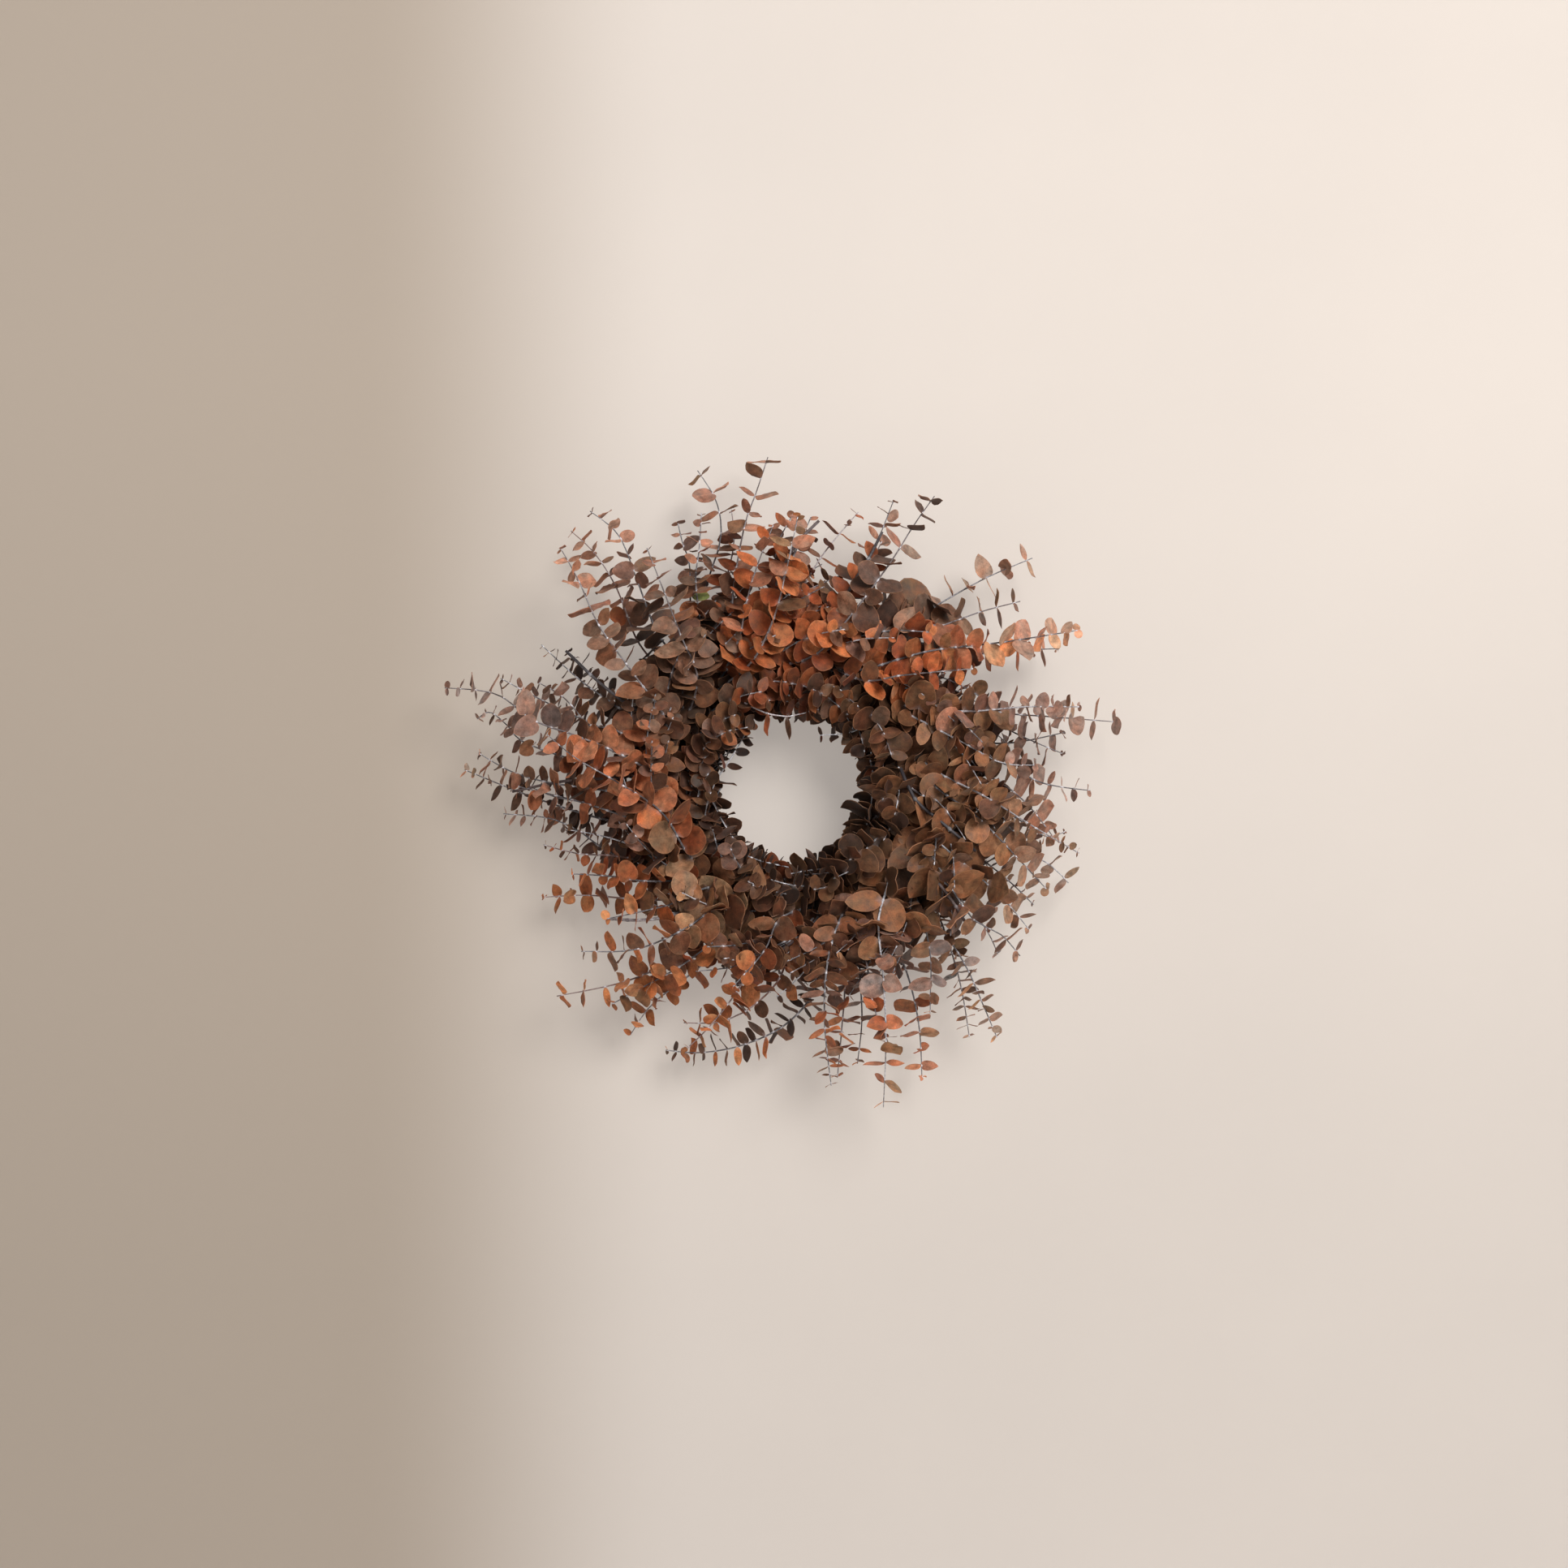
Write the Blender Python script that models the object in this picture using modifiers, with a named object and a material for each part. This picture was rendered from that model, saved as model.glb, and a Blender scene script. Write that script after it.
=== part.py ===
# Preserved eucalyptus wreath, about 610 mm across, hanging from a hook on a wall.
# The origin is the top of the hanging eye. +X is right, +Z is up, and the front faces -Y.
# Leafy sprays are laid round a twisted vine ring in fourteen bunches, which one binding wire holds.

import math

import bmesh
import bpy
from mathutils import Matrix, Vector
from mathutils.bvhtree import BVHTree

MM = 0.001

# Driving dimensions
RING_RADIUS = 111 * MM          # hole centre to the middle of the vine
VINE_RADIUS = 10 * MM           # over the crests of its three strands
VINE_GROOVE = 1.6 * MM
VINE_TWISTS = 5
VINE_SECTIONS = 36
VINE_CORNERS = 9                # three to a strand
STAND_OFF = 24 * MM             # wall side of the eye to the middle of the vine
DROP = 145 * MM                 # top of the eye to the middle of the hole
WALL_LIFT = -23 * MM            # nothing reaches further back than this
SEAT = 0.30 * MM                # between a stem end and the vine
CLEAR = 0.3 * MM                # between any two pieces that touch
STEM_ROOT = 1.6 * MM
STEM_TIP = 0.9 * MM
WIRE_RADIUS = 0.5 * MM
HANGER_WIRE = 0.8 * MM
EYE_WIDTH = 14 * MM
EYE_DEPTH = 14 * MM             # no leaf comes nearer to the wall than this behind the eye,
EYE_HEIGHT = 29 * MM            # from this far below its top
LEAF_THICKNESS = 0.7 * MM
HOLE_RADIUS = 64 * MM           # of the hole, which no leaf grows into

# Bunches, in degrees clockwise from the top as seen from the front
BUNCHES = 14
FIRST_BUNCH = 5.0
BOUND = 8.0                     # how far a stem end lies along the vine under the wire
WIRE_START = 1.5                # of the wire's turn, from the start of the bunch
WIRE_SWEEP = 5.0                # along the vine in one turn of the wire
ROWS = {"outer": 12.0, "upper": 52.0, "front": 94.0, "rim": 138.0}
FLAT_ROWS = ("upper", "rim")    # a flat side of the square stem faces the vine here

# Leaf colours, as read from the dried leaves
TONES = {
    "umber": (0.115, 0.072, 0.050),
    "brown": (0.210, 0.135, 0.095),
    "khaki": (0.300, 0.215, 0.140),
    "rust": (0.420, 0.150, 0.060),
    "mauve": (0.260, 0.180, 0.160),
}

# Long sprays: bunch, row, tone, and the way their stems take in mm from the middle of the hole,
# as (right, up, towards the viewer), ending at the tip.
LONG_SPRAYS = [
    (0, "outer", "brown", [(62, 132, 12), (117, 156, 18), (175, 188, 20), (221, 208, 16)]),
    (0, "upper", "umber", [(64, 122, 24), (127, 142, 34), (172, 158, 36), (209, 168, 32)]),
    (0, "front", "rust", [(66, 106, 45), (125, 122, 61), (192, 130, 66), (260, 141, 57)]),
    (1, "outer", "rust", [(112, 108, 10), (160, 119, 14), (205, 124, 16), (246, 126, 12)]),
    (1, "upper", "mauve", [(112, 90, 26), (150, 80, 32), (188, 68, 32), (235, 64, 28), (300, 59, 20)]),
    (1, "front", "brown", [(112, 72, 50), (160, 68, 68), (212, 72, 71), (262, 72, 64)]),
    (2, "outer", "mauve", [(142, 44, 10), (198, 40, 12), (251, 50, 10)]),
    (2, "upper", "khaki", [(138, 34, 26), (188, 24, 32), (229, 4, 32), (273, -3, 24)]),
    (2, "front", "khaki", [(130, 16, 52), (175, -8, 68), (220, -36, 71), (260, -59, 61)]),
    (3, "outer", "khaki", [(146, -20, 10), (192, -48, 14), (235, -69, 14), (254, -87, 12)]),
    (3, "upper", "brown", [(132, -32, 26), (168, -60, 34), (198, -84, 36), (221, -106, 32)]),
    (3, "front", "brown", [(118, -40, 50), (138, -78, 66), (164, -117, 71), (190, -132, 68),
                           (207, -151, 61)]),
    (4, "outer", "brown", [(124, -88, 10), (142, -132, 14), (156, -180, 16), (164, -227, 12)]),
    (4, "upper", "khaki", [(112, -94, 28), (138, -128, 36), (160, -162, 38), (176, -198, 36),
                           (188, -226, 30)]),
    (4, "front", "khaki", [(90, -84, 52), (80, -120, 66), (84, -165, 68), (87, -225, 59), (85, -288, 45)]),
    (5, "outer", "rust", [(84, -124, 10), (106, -165, 14), (118, -215, 14), (121, -265, 12)]),
    (5, "upper", "rust", [(64, -128, 26), (64, -165, 33), (66, -210, 33), (62, -250, 26)]),
    (5, "front", "brown", [(46, -118, 52), (34, -160, 68), (32, -212, 66), (38, -268, 50)]),
    (6, "outer", "umber", [(26, -144, 9), (22, -186, 13), (-4, -216, 15), (-42, -234, 15), (-80, -241, 13),
                           (-112, -239, 10)]),
    (6, "upper", "rust", [(2, -136, 27), (-8, -172, 34), (-36, -200, 36), (-65, -212, 33), (-95, -213, 28)]),
    (6, "front", "rust", [(-8, -118, 52), (-22, -146, 68), (-50, -178, 73)]),
    (7, "outer", "rust", [(-56, -142, 10), (-92, -172, 14), (-125, -198, 14), (-144, -225, 11)]),
    (7, "upper", "rust", [(-64, -126, 28), (-104, -156, 35), (-150, -176, 34), (-210, -189, 26)]),
    (7, "front", "brown", [(-60, -106, 53), (-96, -128, 70), (-138, -145, 71), (-186, -147, 61)]),
    (8, "outer", "rust", [(-108, -102, 10), (-146, -101, 14), (-185, -98, 14), (-224, -100, 11)]),
    (8, "upper", "mauve", [(-108, -76, 28), (-134, -56, 35), (-168, -44, 36), (-202, -38, 30)]),
    (8, "front", "rust", [(-92, -58, 52), (-114, -22, 68), (-152, 4, 76), (-190, 26, 76), (-216, 47, 68)]),
    (9, "outer", "umber", [(-138, -36, 9), (-180, -26, 13), (-235, -8, 14), (-295, 16, 10)]),
    (9, "upper", "brown", [(-128, -12, 27), (-172, -2, 35), (-215, 4, 36), (-250, 14, 33), (-281, 31, 26)]),
    (9, "front", "mauve", [(-118, 6, 52), (-148, 28, 64), (-190, 46, 59), (-229, 60, 52), (-264, 84, 42),
                           (-311, 90, 31)]),
    (10, "outer", "brown", [(-140, 38, 9), (-180, 58, 13), (-222, 78, 14), (-262, 99, 10)]),
    (10, "upper", "umber", [(-126, 50, 27), (-160, 76, 34), (-190, 98, 34), (-224, 129, 28)]),
    (10, "front", "brown", [(-110, 58, 52), (-138, 100, 66), (-170, 145, 64), (-188, 184, 54),
                            (-206, 216, 42)]),
    (11, "outer", "rust", [(-112, 96, 10), (-138, 134, 14), (-156, 180, 15), (-176, 212, 13),
                           (-198, 233, 10)]),
    (11, "upper", "mauve", [(-98, 104, 28), (-120, 142, 36), (-138, 190, 37), (-154, 228, 33),
                            (-180, 250, 26)]),
    (11, "front", "mauve", [(-82, 96, 53), (-96, 134, 70), (-112, 176, 73), (-127, 214, 66)]),
    (12, "outer", "brown", [(-72, 130, 10), (-76, 176, 14), (-62, 225, 15), (-66, 260, 12), (-83, 288, 9)]),
    (12, "upper", "brown", [(-54, 130, 28), (-50, 180, 36), (-40, 236, 35), (-29, 268, 30), (-19, 299, 23)]),
    (12, "front", "khaki", [(-34, 112, 53), (-14, 150, 71), (-2, 195, 76), (8, 242, 68)]),
    (13, "outer", "rust", [(-6, 140, 10), (8, 172, 15), (30, 210, 16), (63, 250, 12)]),
    (13, "upper", "brown", [(14, 134, 28), (46, 170, 36), (74, 210, 36), (95, 260, 28)]),
    (13, "front", "umber", [(22, 118, 52), (54, 152, 68), (90, 200, 66), (112, 235, 57), (131, 262, 45)]),
]

# Short sprays that follow the rim of the hole: bunch, tone, degrees swept, and at the tip
# the distance from the middle of the hole and towards the viewer in mm.
RIM_SPRAYS = [
    (0, "rust", 56, 80, 46), (1, "rust", 50, 84, 52), (2, "khaki", 58, 78, 44), (3, "khaki", 52, 84, 50),
    (4, "khaki", 54, 80, 46), (5, "rust", 58, 76, 42), (6, "brown", 52, 84, 50), (7, "brown", 56, 76, 44),
    (8, "brown", 54, 80, 48), (9, "mauve", 52, 84, 50), (10, "umber", 60, 72, 42), (11, "brown", 52, 80, 50),
    (12, "mauve", 56, 76, 44), (13, "rust", 52, 84, 52),
]

RIM_FOOT_REACH = 100            # where they leave the vine, in the same two measures
RIM_FOOT_LIFT = 10

# Leaves from the vine outwards: share of the free stem, or distance from its foot, then leaf length,
# and the sides of the stem that carry one, in degrees round it.
# The inner ones are larger than life, because fewer of them cover the vine.
LONG_LEAVES = [(22 * MM, 44 * MM, (0, 180)), (0.42, 40 * MM, (0, 180)), (0.63, 31 * MM, (0,)),
               (0.85, 24 * MM, (0, 180))]
RIM_LEAVES = [(16 * MM, 40 * MM, (0, 180)), (0.70, 32 * MM, (0, 180))]
TURNS = (20, 62, 15, -40)       # of the first leaf of each, in degrees round the stem
COVERING = 30 * MM              # leaves longer than this turn their face to the front
END_LEAF = 17 * MM
COVER_SPREAD = 62               # degrees between a leaf and its stem
TIP_SPREAD = 68
END_SPREAD = 18

# What a leaf tries when another piece is in its way, smallest changes first
SIZES = (1, 0.85, 0.7, 0.55)
BENDS = (0, -14, 12, -28)
SWINGS = (0, 16, -16, 32, -32, 50, -50, 70, -70)

FRONT = Vector((0, -1, 0))


def at(right, up, lift):
    """A place given from the middle of the hole, in metres."""
    return Vector((right, -STAND_OFF - lift, up - DROP))


def round_the_vine(clock, row, away):
    """A place at a distance from the vine's middle line; row 0 is outwards and 90 to the front."""
    turn = math.radians(clock)
    tilt = math.radians(row)
    reach = RING_RADIUS + away * math.cos(tilt)
    return at(reach * math.sin(turn), reach * math.cos(turn), away * math.sin(tilt))


def vine_corner(number):
    """Distance of a corner of the vine's section from its middle line."""
    return VINE_RADIUS - VINE_GROOVE * (0.5 - 0.5 * math.cos(math.radians(3 * 360 * number / VINE_CORNERS)))


def vine_twist(clock):
    return clock * VINE_TWISTS / 3


def smooth_way(points, per_span):
    """Points on a curve that passes through the given ones."""
    way = []
    last = len(points) - 1
    for i in range(last):
        before = points[max(i - 1, 0)]
        here = points[i]
        there = points[i + 1]
        after = points[min(i + 2, last)]
        for step in range(per_span):
            t = step / per_span
            way.append(0.5 * (2 * here + (there - before) * t
                              + (2 * before - 5 * here + 4 * there - after) * t * t
                              + (3 * here - before - 3 * there + after) * t * t * t))
    way.append(points[-1].copy())
    return way


def lengths_along(way):
    """Distance from the first point to each point."""
    sums = [0.0]
    for here, there in zip(way, way[1:]):
        sums.append(sums[-1] + (there - here).length)
    return sums


def on_way(way, sums, distance):
    """The point and the direction at a distance along the way."""
    for i in range(len(way) - 1):
        if distance <= sums[i + 1] or i == len(way) - 2:
            share = (distance - sums[i]) / (sums[i + 1] - sums[i])
            return way[i].lerp(way[i + 1], share), (way[i + 1] - way[i]).normalized()


def new_material(name, colour, roughness, metallic=0.0):
    material = bpy.data.materials.new(name)
    material.use_nodes = True
    shader = material.node_tree.nodes["Principled BSDF"]
    shader.inputs["Base Color"].default_value = (*colour, 1)
    shader.inputs["Roughness"].default_value = roughness
    shader.inputs["Metallic"].default_value = metallic
    return material


def tube(name, points, radii, closed=False):
    """A four-sided tube through the points as a welded mesh object."""
    curve = bpy.data.curves.new(name, "CURVE")
    curve.dimensions = "3D"
    curve.bevel_depth = 1.0
    curve.bevel_resolution = 0
    curve.use_fill_caps = True
    spline = curve.splines.new("POLY")
    spline.points.add(len(points) - 1)
    for point, place, radius in zip(spline.points, points, radii):
        point.co = (*place, 1)
        point.radius = radius
    spline.use_cyclic_u = closed
    guide = bpy.data.objects.new(name, curve)
    parts.objects.link(guide)
    seen = guide.evaluated_get(bpy.context.evaluated_depsgraph_get())
    mesh = bpy.data.meshes.new_from_object(seen)
    mesh.name = name
    bpy.data.objects.remove(guide)
    bpy.data.curves.remove(curve)
    sheet = bmesh.new()
    sheet.from_mesh(mesh)
    bmesh.ops.remove_doubles(sheet, verts=sheet.verts, dist=0.01 * MM)
    bmesh.ops.recalc_face_normals(sheet, faces=sheet.faces)
    sheet.to_mesh(mesh)
    sheet.free()
    made = bpy.data.objects.new(name, mesh)
    parts.objects.link(made)
    return made


def leaf_sheet():
    """One leaf of unit length: an arched five-sided sheet from its foot at the origin along +X."""
    outline = [(0, 0, 0), (0.36, -0.47, 0.07), (0.93, -0.27, -0.04), (0.93, 0.27, -0.04), (0.36, 0.47, 0.07)]
    sheet = bmesh.new()
    bmesh.ops.create_circle(sheet, cap_ends=True, segments=len(outline), radius=1)
    for vert, place in zip(list(sheet.verts), outline):
        vert.co = place
    sheet.normal_update()
    _, right, far_right, far_left, left = sheet.verts
    for ends in ((right, left), (far_right, left)):
        bmesh.ops.connect_verts(sheet, verts=ends)
    for face in sheet.faces:
        if face.normal.z < 0:
            face.normal_flip()
    mesh = bpy.data.meshes.new("leaf")
    sheet.to_mesh(mesh)
    sheet.free()
    return mesh


def leaf_place(foot, along, facing, length):
    """The matrix that stands the unit leaf at its foot."""
    side = facing.cross(along).normalized()
    up = along.cross(side).normalized()
    frame = Matrix((along, side, up)).transposed().to_4x4()
    return Matrix.Translation(foot) @ frame @ Matrix.Diagonal((length, length, length, 1))


def thick_leaf(sheet, place, half):
    """Corners and triangles of a leaf's two faces, spread apart by half each way."""
    up = place.to_3x3().col[2].normalized() * half
    corners = [place @ v.co for v in sheet.vertices]
    both = [c + up for c in corners] + [c - up for c in corners]
    triangles = [tuple(p.vertices) for p in sheet.polygons]
    count = len(corners)
    faces = triangles + [tuple(i + count for i in t) for t in triangles]
    for here in range(count):
        there = (here + 1) % count
        faces.append((here, there, here + count))
        faces.append((there, there + count, here + count))
    return both, faces


def middle_and_reach(corners):
    middle = sum(corners, Vector()) / len(corners)
    return middle, max((c - middle).length for c in corners)


class Room:
    """The space taken so far, kept as one search tree a shape."""

    def __init__(self):
        self.shapes = []

    def add(self, corners, faces, owner):
        middle, reach = middle_and_reach(corners)
        self.shapes.append((BVHTree.FromPolygons(corners, faces), middle, reach, owner))

    def add_object(self, thing):
        faces = [tuple(p.vertices) for p in thing.data.polygons]
        self.add([v.co for v in thing.data.vertices], faces, thing.name)

    def meets(self, corners, faces, but):
        tree = BVHTree.FromPolygons(corners, faces)
        middle, reach = middle_and_reach(corners)
        for other, place, size, owner in self.shapes:
            if owner in but or (place - middle).length > reach + size:
                continue
            if tree.overlap(other):
                return True
        return False


def in_the_open(corners):
    """True where a leaf would reach the wall, the hole or the hanging eye."""
    for corner in corners:
        right = corner.x
        up = corner.z + DROP
        if -STAND_OFF - corner.y < WALL_LIFT:
            return True
        if math.hypot(right, up) < HOLE_RADIUS:
            return True
        if abs(right) < EYE_WIDTH and corner.y > -EYE_DEPTH and corner.z > -EYE_HEIGHT:
            return True
    return False


def vine_ring():
    """Three strands twisted into a ring: a round section with three grooves that turn as it goes."""
    sheet = bmesh.new()
    corners = VINE_CORNERS
    rings = []
    for i in range(VINE_SECTIONS):
        clock = 360 * i / VINE_SECTIONS
        ring = []
        for j in range(corners):
            row = 360 * j / corners + vine_twist(clock)
            ring.append(sheet.verts.new(round_the_vine(clock, row, vine_corner(j))))
        rings.append(ring)
    for i in range(VINE_SECTIONS):
        here = rings[i]
        there = rings[(i + 1) % VINE_SECTIONS]
        turned = 0
        if i == VINE_SECTIONS - 1:
            turned = corners * VINE_TWISTS // 3 % corners
        for j in range(corners):
            k = (j + 1) % corners
            a = (j + turned) % corners
            b = (k + turned) % corners
            sheet.faces.new((here[j], here[k], there[b], there[a]))
    bmesh.ops.recalc_face_normals(sheet, faces=sheet.faces)
    mesh = bpy.data.meshes.new("vine_ring")
    sheet.to_mesh(mesh)
    sheet.free()
    mesh.materials.append(materials["vine"])
    made = bpy.data.objects.new("vine_ring", mesh)
    parts.objects.link(made)
    return made


def bunch_start(bunch):
    return FIRST_BUNCH + bunch * 360 / BUNCHES


def binding_wire():
    """One wire: a turn round each bunch, and a run along the vine's back to the next.

    Its two ends stop either side of the hanging eye.
    """
    steps = 8
    stems_from = -20            # the rows between which the wire goes over stems
    stems_to = 190
    close = VINE_RADIUS + CLEAR + WIRE_RADIUS
    over_stems = VINE_RADIUS + SEAT + 2 * STEM_ROOT + CLEAR + WIRE_RADIUS
    points = []
    for bunch in range(BUNCHES):
        start = bunch_start(bunch) + WIRE_START
        for step in range(steps + 1):
            row = -90 + 360 * step / steps
            away = over_stems if stems_from <= row <= stems_to else close
            corner = away / math.cos(math.pi / steps)
            points.append(round_the_vine(start + WIRE_SWEEP * step / steps, row, corner))
    made = tube("binding_wire", points, [WIRE_RADIUS] * len(points))
    made.data.materials.append(materials["wire"])
    return made


def hanging_eye():
    """A wire loop round the vine, with its two ends drawn up into an eye that the hook goes in."""
    step = 30
    half = EYE_WIDTH / 2 + HANGER_WIRE
    side = (HANGER_WIRE + CLEAR) * 1.02
    neck_back = -3.6 * MM
    neck_drop = -18.2 * MM
    points = []
    for angle in range(-60, 241, step):
        turn = math.radians(angle)
        points.append(Vector((half * math.cos(turn), 0, HANGER_WIRE - half + half * math.sin(turn))))
    points.append(Vector((-side, neck_back, neck_drop)))
    away = (VINE_RADIUS + CLEAR + HANGER_WIRE) / math.cos(math.radians(step / 2))
    for angle in range(60, 361, step):
        share = (angle - 60) / 300
        turn = math.radians(angle)
        middle = at(side * (2 * share - 1), RING_RADIUS, 0)
        points.append(middle + away * Vector((0, math.sin(turn), math.cos(turn))))
    points.append(Vector((side, neck_back, neck_drop)))
    made = tube("hanging_eye", points, [HANGER_WIRE] * len(points), closed=True)
    made.data.materials.append(materials["wire"])
    return made


def stem_ways():
    """Each spray's name, tone, way from its bound end to its tip, and leaves."""
    ways = []
    for bunch, row, tone, route in LONG_SPRAYS:
        end = [mm_place(*place) for place in route]
        ways.append((f"spray_{bunch:02d}_{row}", tone, bound_end(bunch, row) + end, LONG_LEAVES))
    for bunch, tone, swept, reach, lift in RIM_SPRAYS:
        end = []
        for share in (0.3, 0.62, 1.0):
            turn = math.radians(bunch_start(bunch) + BOUND + swept * share)
            away = (RIM_FOOT_REACH + (reach - RIM_FOOT_REACH) * share) * MM
            out = (RIM_FOOT_LIFT + (lift - RIM_FOOT_LIFT) * share ** 0.8) * MM
            end.append(at(away * math.sin(turn), away * math.cos(turn), out))
        ways.append((f"spray_{bunch:02d}_rim", tone, bound_end(bunch, "rim") + end, RIM_LEAVES))
    return ways


def mm_place(right, up, lift):
    return at(right * MM, up * MM, lift * MM)


def bound_end(bunch, row):
    """The stretch of stem that lies on the vine under the wire, let down until it all but touches."""
    start = bunch_start(bunch)
    half = STEM_ROOT * (0.88 if row in FLAT_ROWS else 1)
    away = VINE_RADIUS + SEAT + half
    for _ in range(4):
        ends = [round_the_vine(start + share * BOUND, ROWS[row], away) for share in (0, 1)]
        nearest = min(vine_tree.find_nearest(ends[0].lerp(ends[1], step / 12))[3] for step in range(13))
        away += SEAT + half - nearest
    return ends


def stem(name, route):
    """The stem, thinner towards its tip, and the points it runs through."""
    per_span = 6
    fine = smooth_way(route, per_span)
    sums = lengths_along(fine)
    foot = sums[per_span]
    free = sums[-1] - 0.8 * END_LEAF - foot
    stops = [0, foot] + [foot + free * share for share in (0.14, 0.34, 0.62, 1)]
    way = [on_way(fine, sums, stop)[0] for stop in stops]
    radii = [STEM_ROOT + (STEM_TIP - STEM_ROOT) * stop / sums[-1] for stop in stops]
    return tube(name, way, radii), way


def leaf_ways(way, leaves, number):
    """For each leaf of a spray: foot, the stem's direction, turn, spread, length and whether it covers."""
    sums = lengths_along(way)
    foot = sums[1]
    free = sums[-1] - foot
    wanted = []
    for order, (where, length, sides) in enumerate(leaves):
        near_foot = where < 0.1
        place, ahead = on_way(way, sums, foot + (where if near_foot else where * free))
        covers = length > COVERING
        spread = COVER_SPREAD if covers else TIP_SPREAD
        turn = TURNS[order] + (number * 47) % 31 - 15 + 180 * (number % 2)
        for side in sides:
            wanted.append((place, ahead, turn + side, spread, length, covers))
    ahead = (way[-1] - way[-2]).normalized()
    wanted.append((way[-1] - ahead * STEM_TIP, ahead, 90, END_SPREAD, END_LEAF, False))
    return wanted


def grow_leaves(name, way, leaves, number):
    """Leaf objects on a stem. A leaf with no room left at any size is left out."""
    made = []
    siblings = []
    for leaf in leaf_ways(way, leaves, number):
        place = free_place(leaf, name, siblings)
        if not place:
            continue
        corners, faces = thick_leaf(leaf_mesh, place, LEAF_THICKNESS / 2)
        room.add(corners, faces, name + "_leaf")
        siblings.append(BVHTree.FromPolygons(corners, beyond_foot(corners, faces)))
        made.append(leaf_object(name, place))
    return made


def free_place(leaf, name, siblings):
    """The first of the leaf's places that is clear of everything else, or None."""
    foot, ahead, turn, spread, length, covers = leaf
    for size in SIZES:
        for bend in BENDS:
            for swing in SWINGS:
                place = leaf_matrix(foot, ahead, turn + swing, spread + bend, length * size, covers)
                if leaf_is_free(place, name, siblings):
                    return place
    return None


def leaf_matrix(foot, ahead, turn, spread, length, covers):
    """A covering leaf turns its face to the front, and any other to the tip of its stem."""
    flat = ahead.cross(FRONT).normalized()
    toward = flat.cross(ahead).normalized()
    around = math.radians(turn)
    out = flat * math.cos(around) + toward * math.sin(around)
    lean = math.radians(spread)
    along = out * math.sin(lean) + ahead * math.cos(lean)
    wish = FRONT + 0.35 * ahead if covers else 0.35 * FRONT + ahead
    facing = wish - along * wish.dot(along)
    return leaf_place(foot, along, facing.normalized(), length)


def beyond_foot(corners, faces):
    """The faces that don't touch the leaf's foot, which is sunk in its own stem."""
    feet = (0, len(corners) // 2)
    return [face for face in faces if not set(feet) & set(face)]


def leaf_is_free(matrix, name, siblings):
    corners, faces = thick_leaf(leaf_mesh, matrix, LEAF_THICKNESS / 2 + CLEAR)
    if in_the_open(corners) or room.meets(corners, faces, (name, name + "_leaf")):
        return False
    outer = BVHTree.FromPolygons(corners, beyond_foot(corners, faces))
    own = siblings + [other for other, _, _, owner in room.shapes if owner == name]
    return not any(outer.overlap(other) for other in own)


def leaf_object(name, matrix):
    mesh = leaf_mesh.copy()
    mesh.transform(matrix)
    made = bpy.data.objects.new(name + "_leaf", mesh)
    cutters.objects.link(made)
    made.hide_render = True
    made.display_type = "WIRE"
    solid = made.modifiers.new("thickness", "SOLIDIFY")
    solid.thickness = LEAF_THICKNESS
    solid.offset = 0
    return made


def join_leaves(thing, leaves):
    """The stem and its leaves as one body."""
    group = bpy.data.collections.new(thing.name + "_leaves")
    bpy.context.scene.collection.children.link(group)
    for leaf in leaves:
        cutters.objects.unlink(leaf)
        group.objects.link(leaf)
    union = thing.modifiers.new("leaves", "BOOLEAN")
    union.operation = "UNION"
    union.operand_type = "COLLECTION"
    union.collection = group
    union.solver = "MANIFOLD"
    bpy.context.view_layer.update()
    seen = thing.evaluated_get(bpy.context.evaluated_depsgraph_get())
    mesh = bpy.data.meshes.new_from_object(seen)
    thing.modifiers.clear()
    old = thing.data
    thing.data = mesh
    mesh.name = thing.name
    bpy.data.meshes.remove(old)
    for leaf in leaves:
        bpy.data.objects.remove(leaf)
    bpy.data.collections.remove(group)


for old_object in list(bpy.data.objects):
    bpy.data.objects.remove(old_object)
parts = bpy.data.collections.new("eucalyptus_wreath")
cutters = bpy.data.collections.new("cutters")
bpy.context.scene.collection.children.link(parts)
bpy.context.scene.collection.children.link(cutters)

materials = {
    "vine": new_material("vine", (0.16, 0.10, 0.065), 0.85),
    "wire": new_material("wire", (0.10, 0.09, 0.08), 0.45, 0.9),
}
for tone, colour in TONES.items():
    materials[tone] = new_material("leaf_" + tone, colour, 0.6)

room = Room()
leaf_mesh = leaf_sheet()
for fixed in (vine_ring(), binding_wire(), hanging_eye()):
    room.add_object(fixed)
vine_tree = room.shapes[0][0]

sprays = []
for spray_name, spray_tone, spray_route, spray_leaves in stem_ways():
    stalk, stalk_way = stem(spray_name, spray_route)
    stalk.data.materials.append(materials[spray_tone])
    room.add_object(stalk)
    sprays.append((stalk, stalk_way, spray_leaves))

for number, (stalk, stalk_way, spray_leaves) in enumerate(sprays):
    join_leaves(stalk, grow_leaves(stalk.name, stalk_way, spray_leaves, number))
bpy.data.meshes.remove(leaf_mesh)
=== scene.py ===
import math
import random

import bpy
from mathutils import Matrix, Vector, noise


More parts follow.
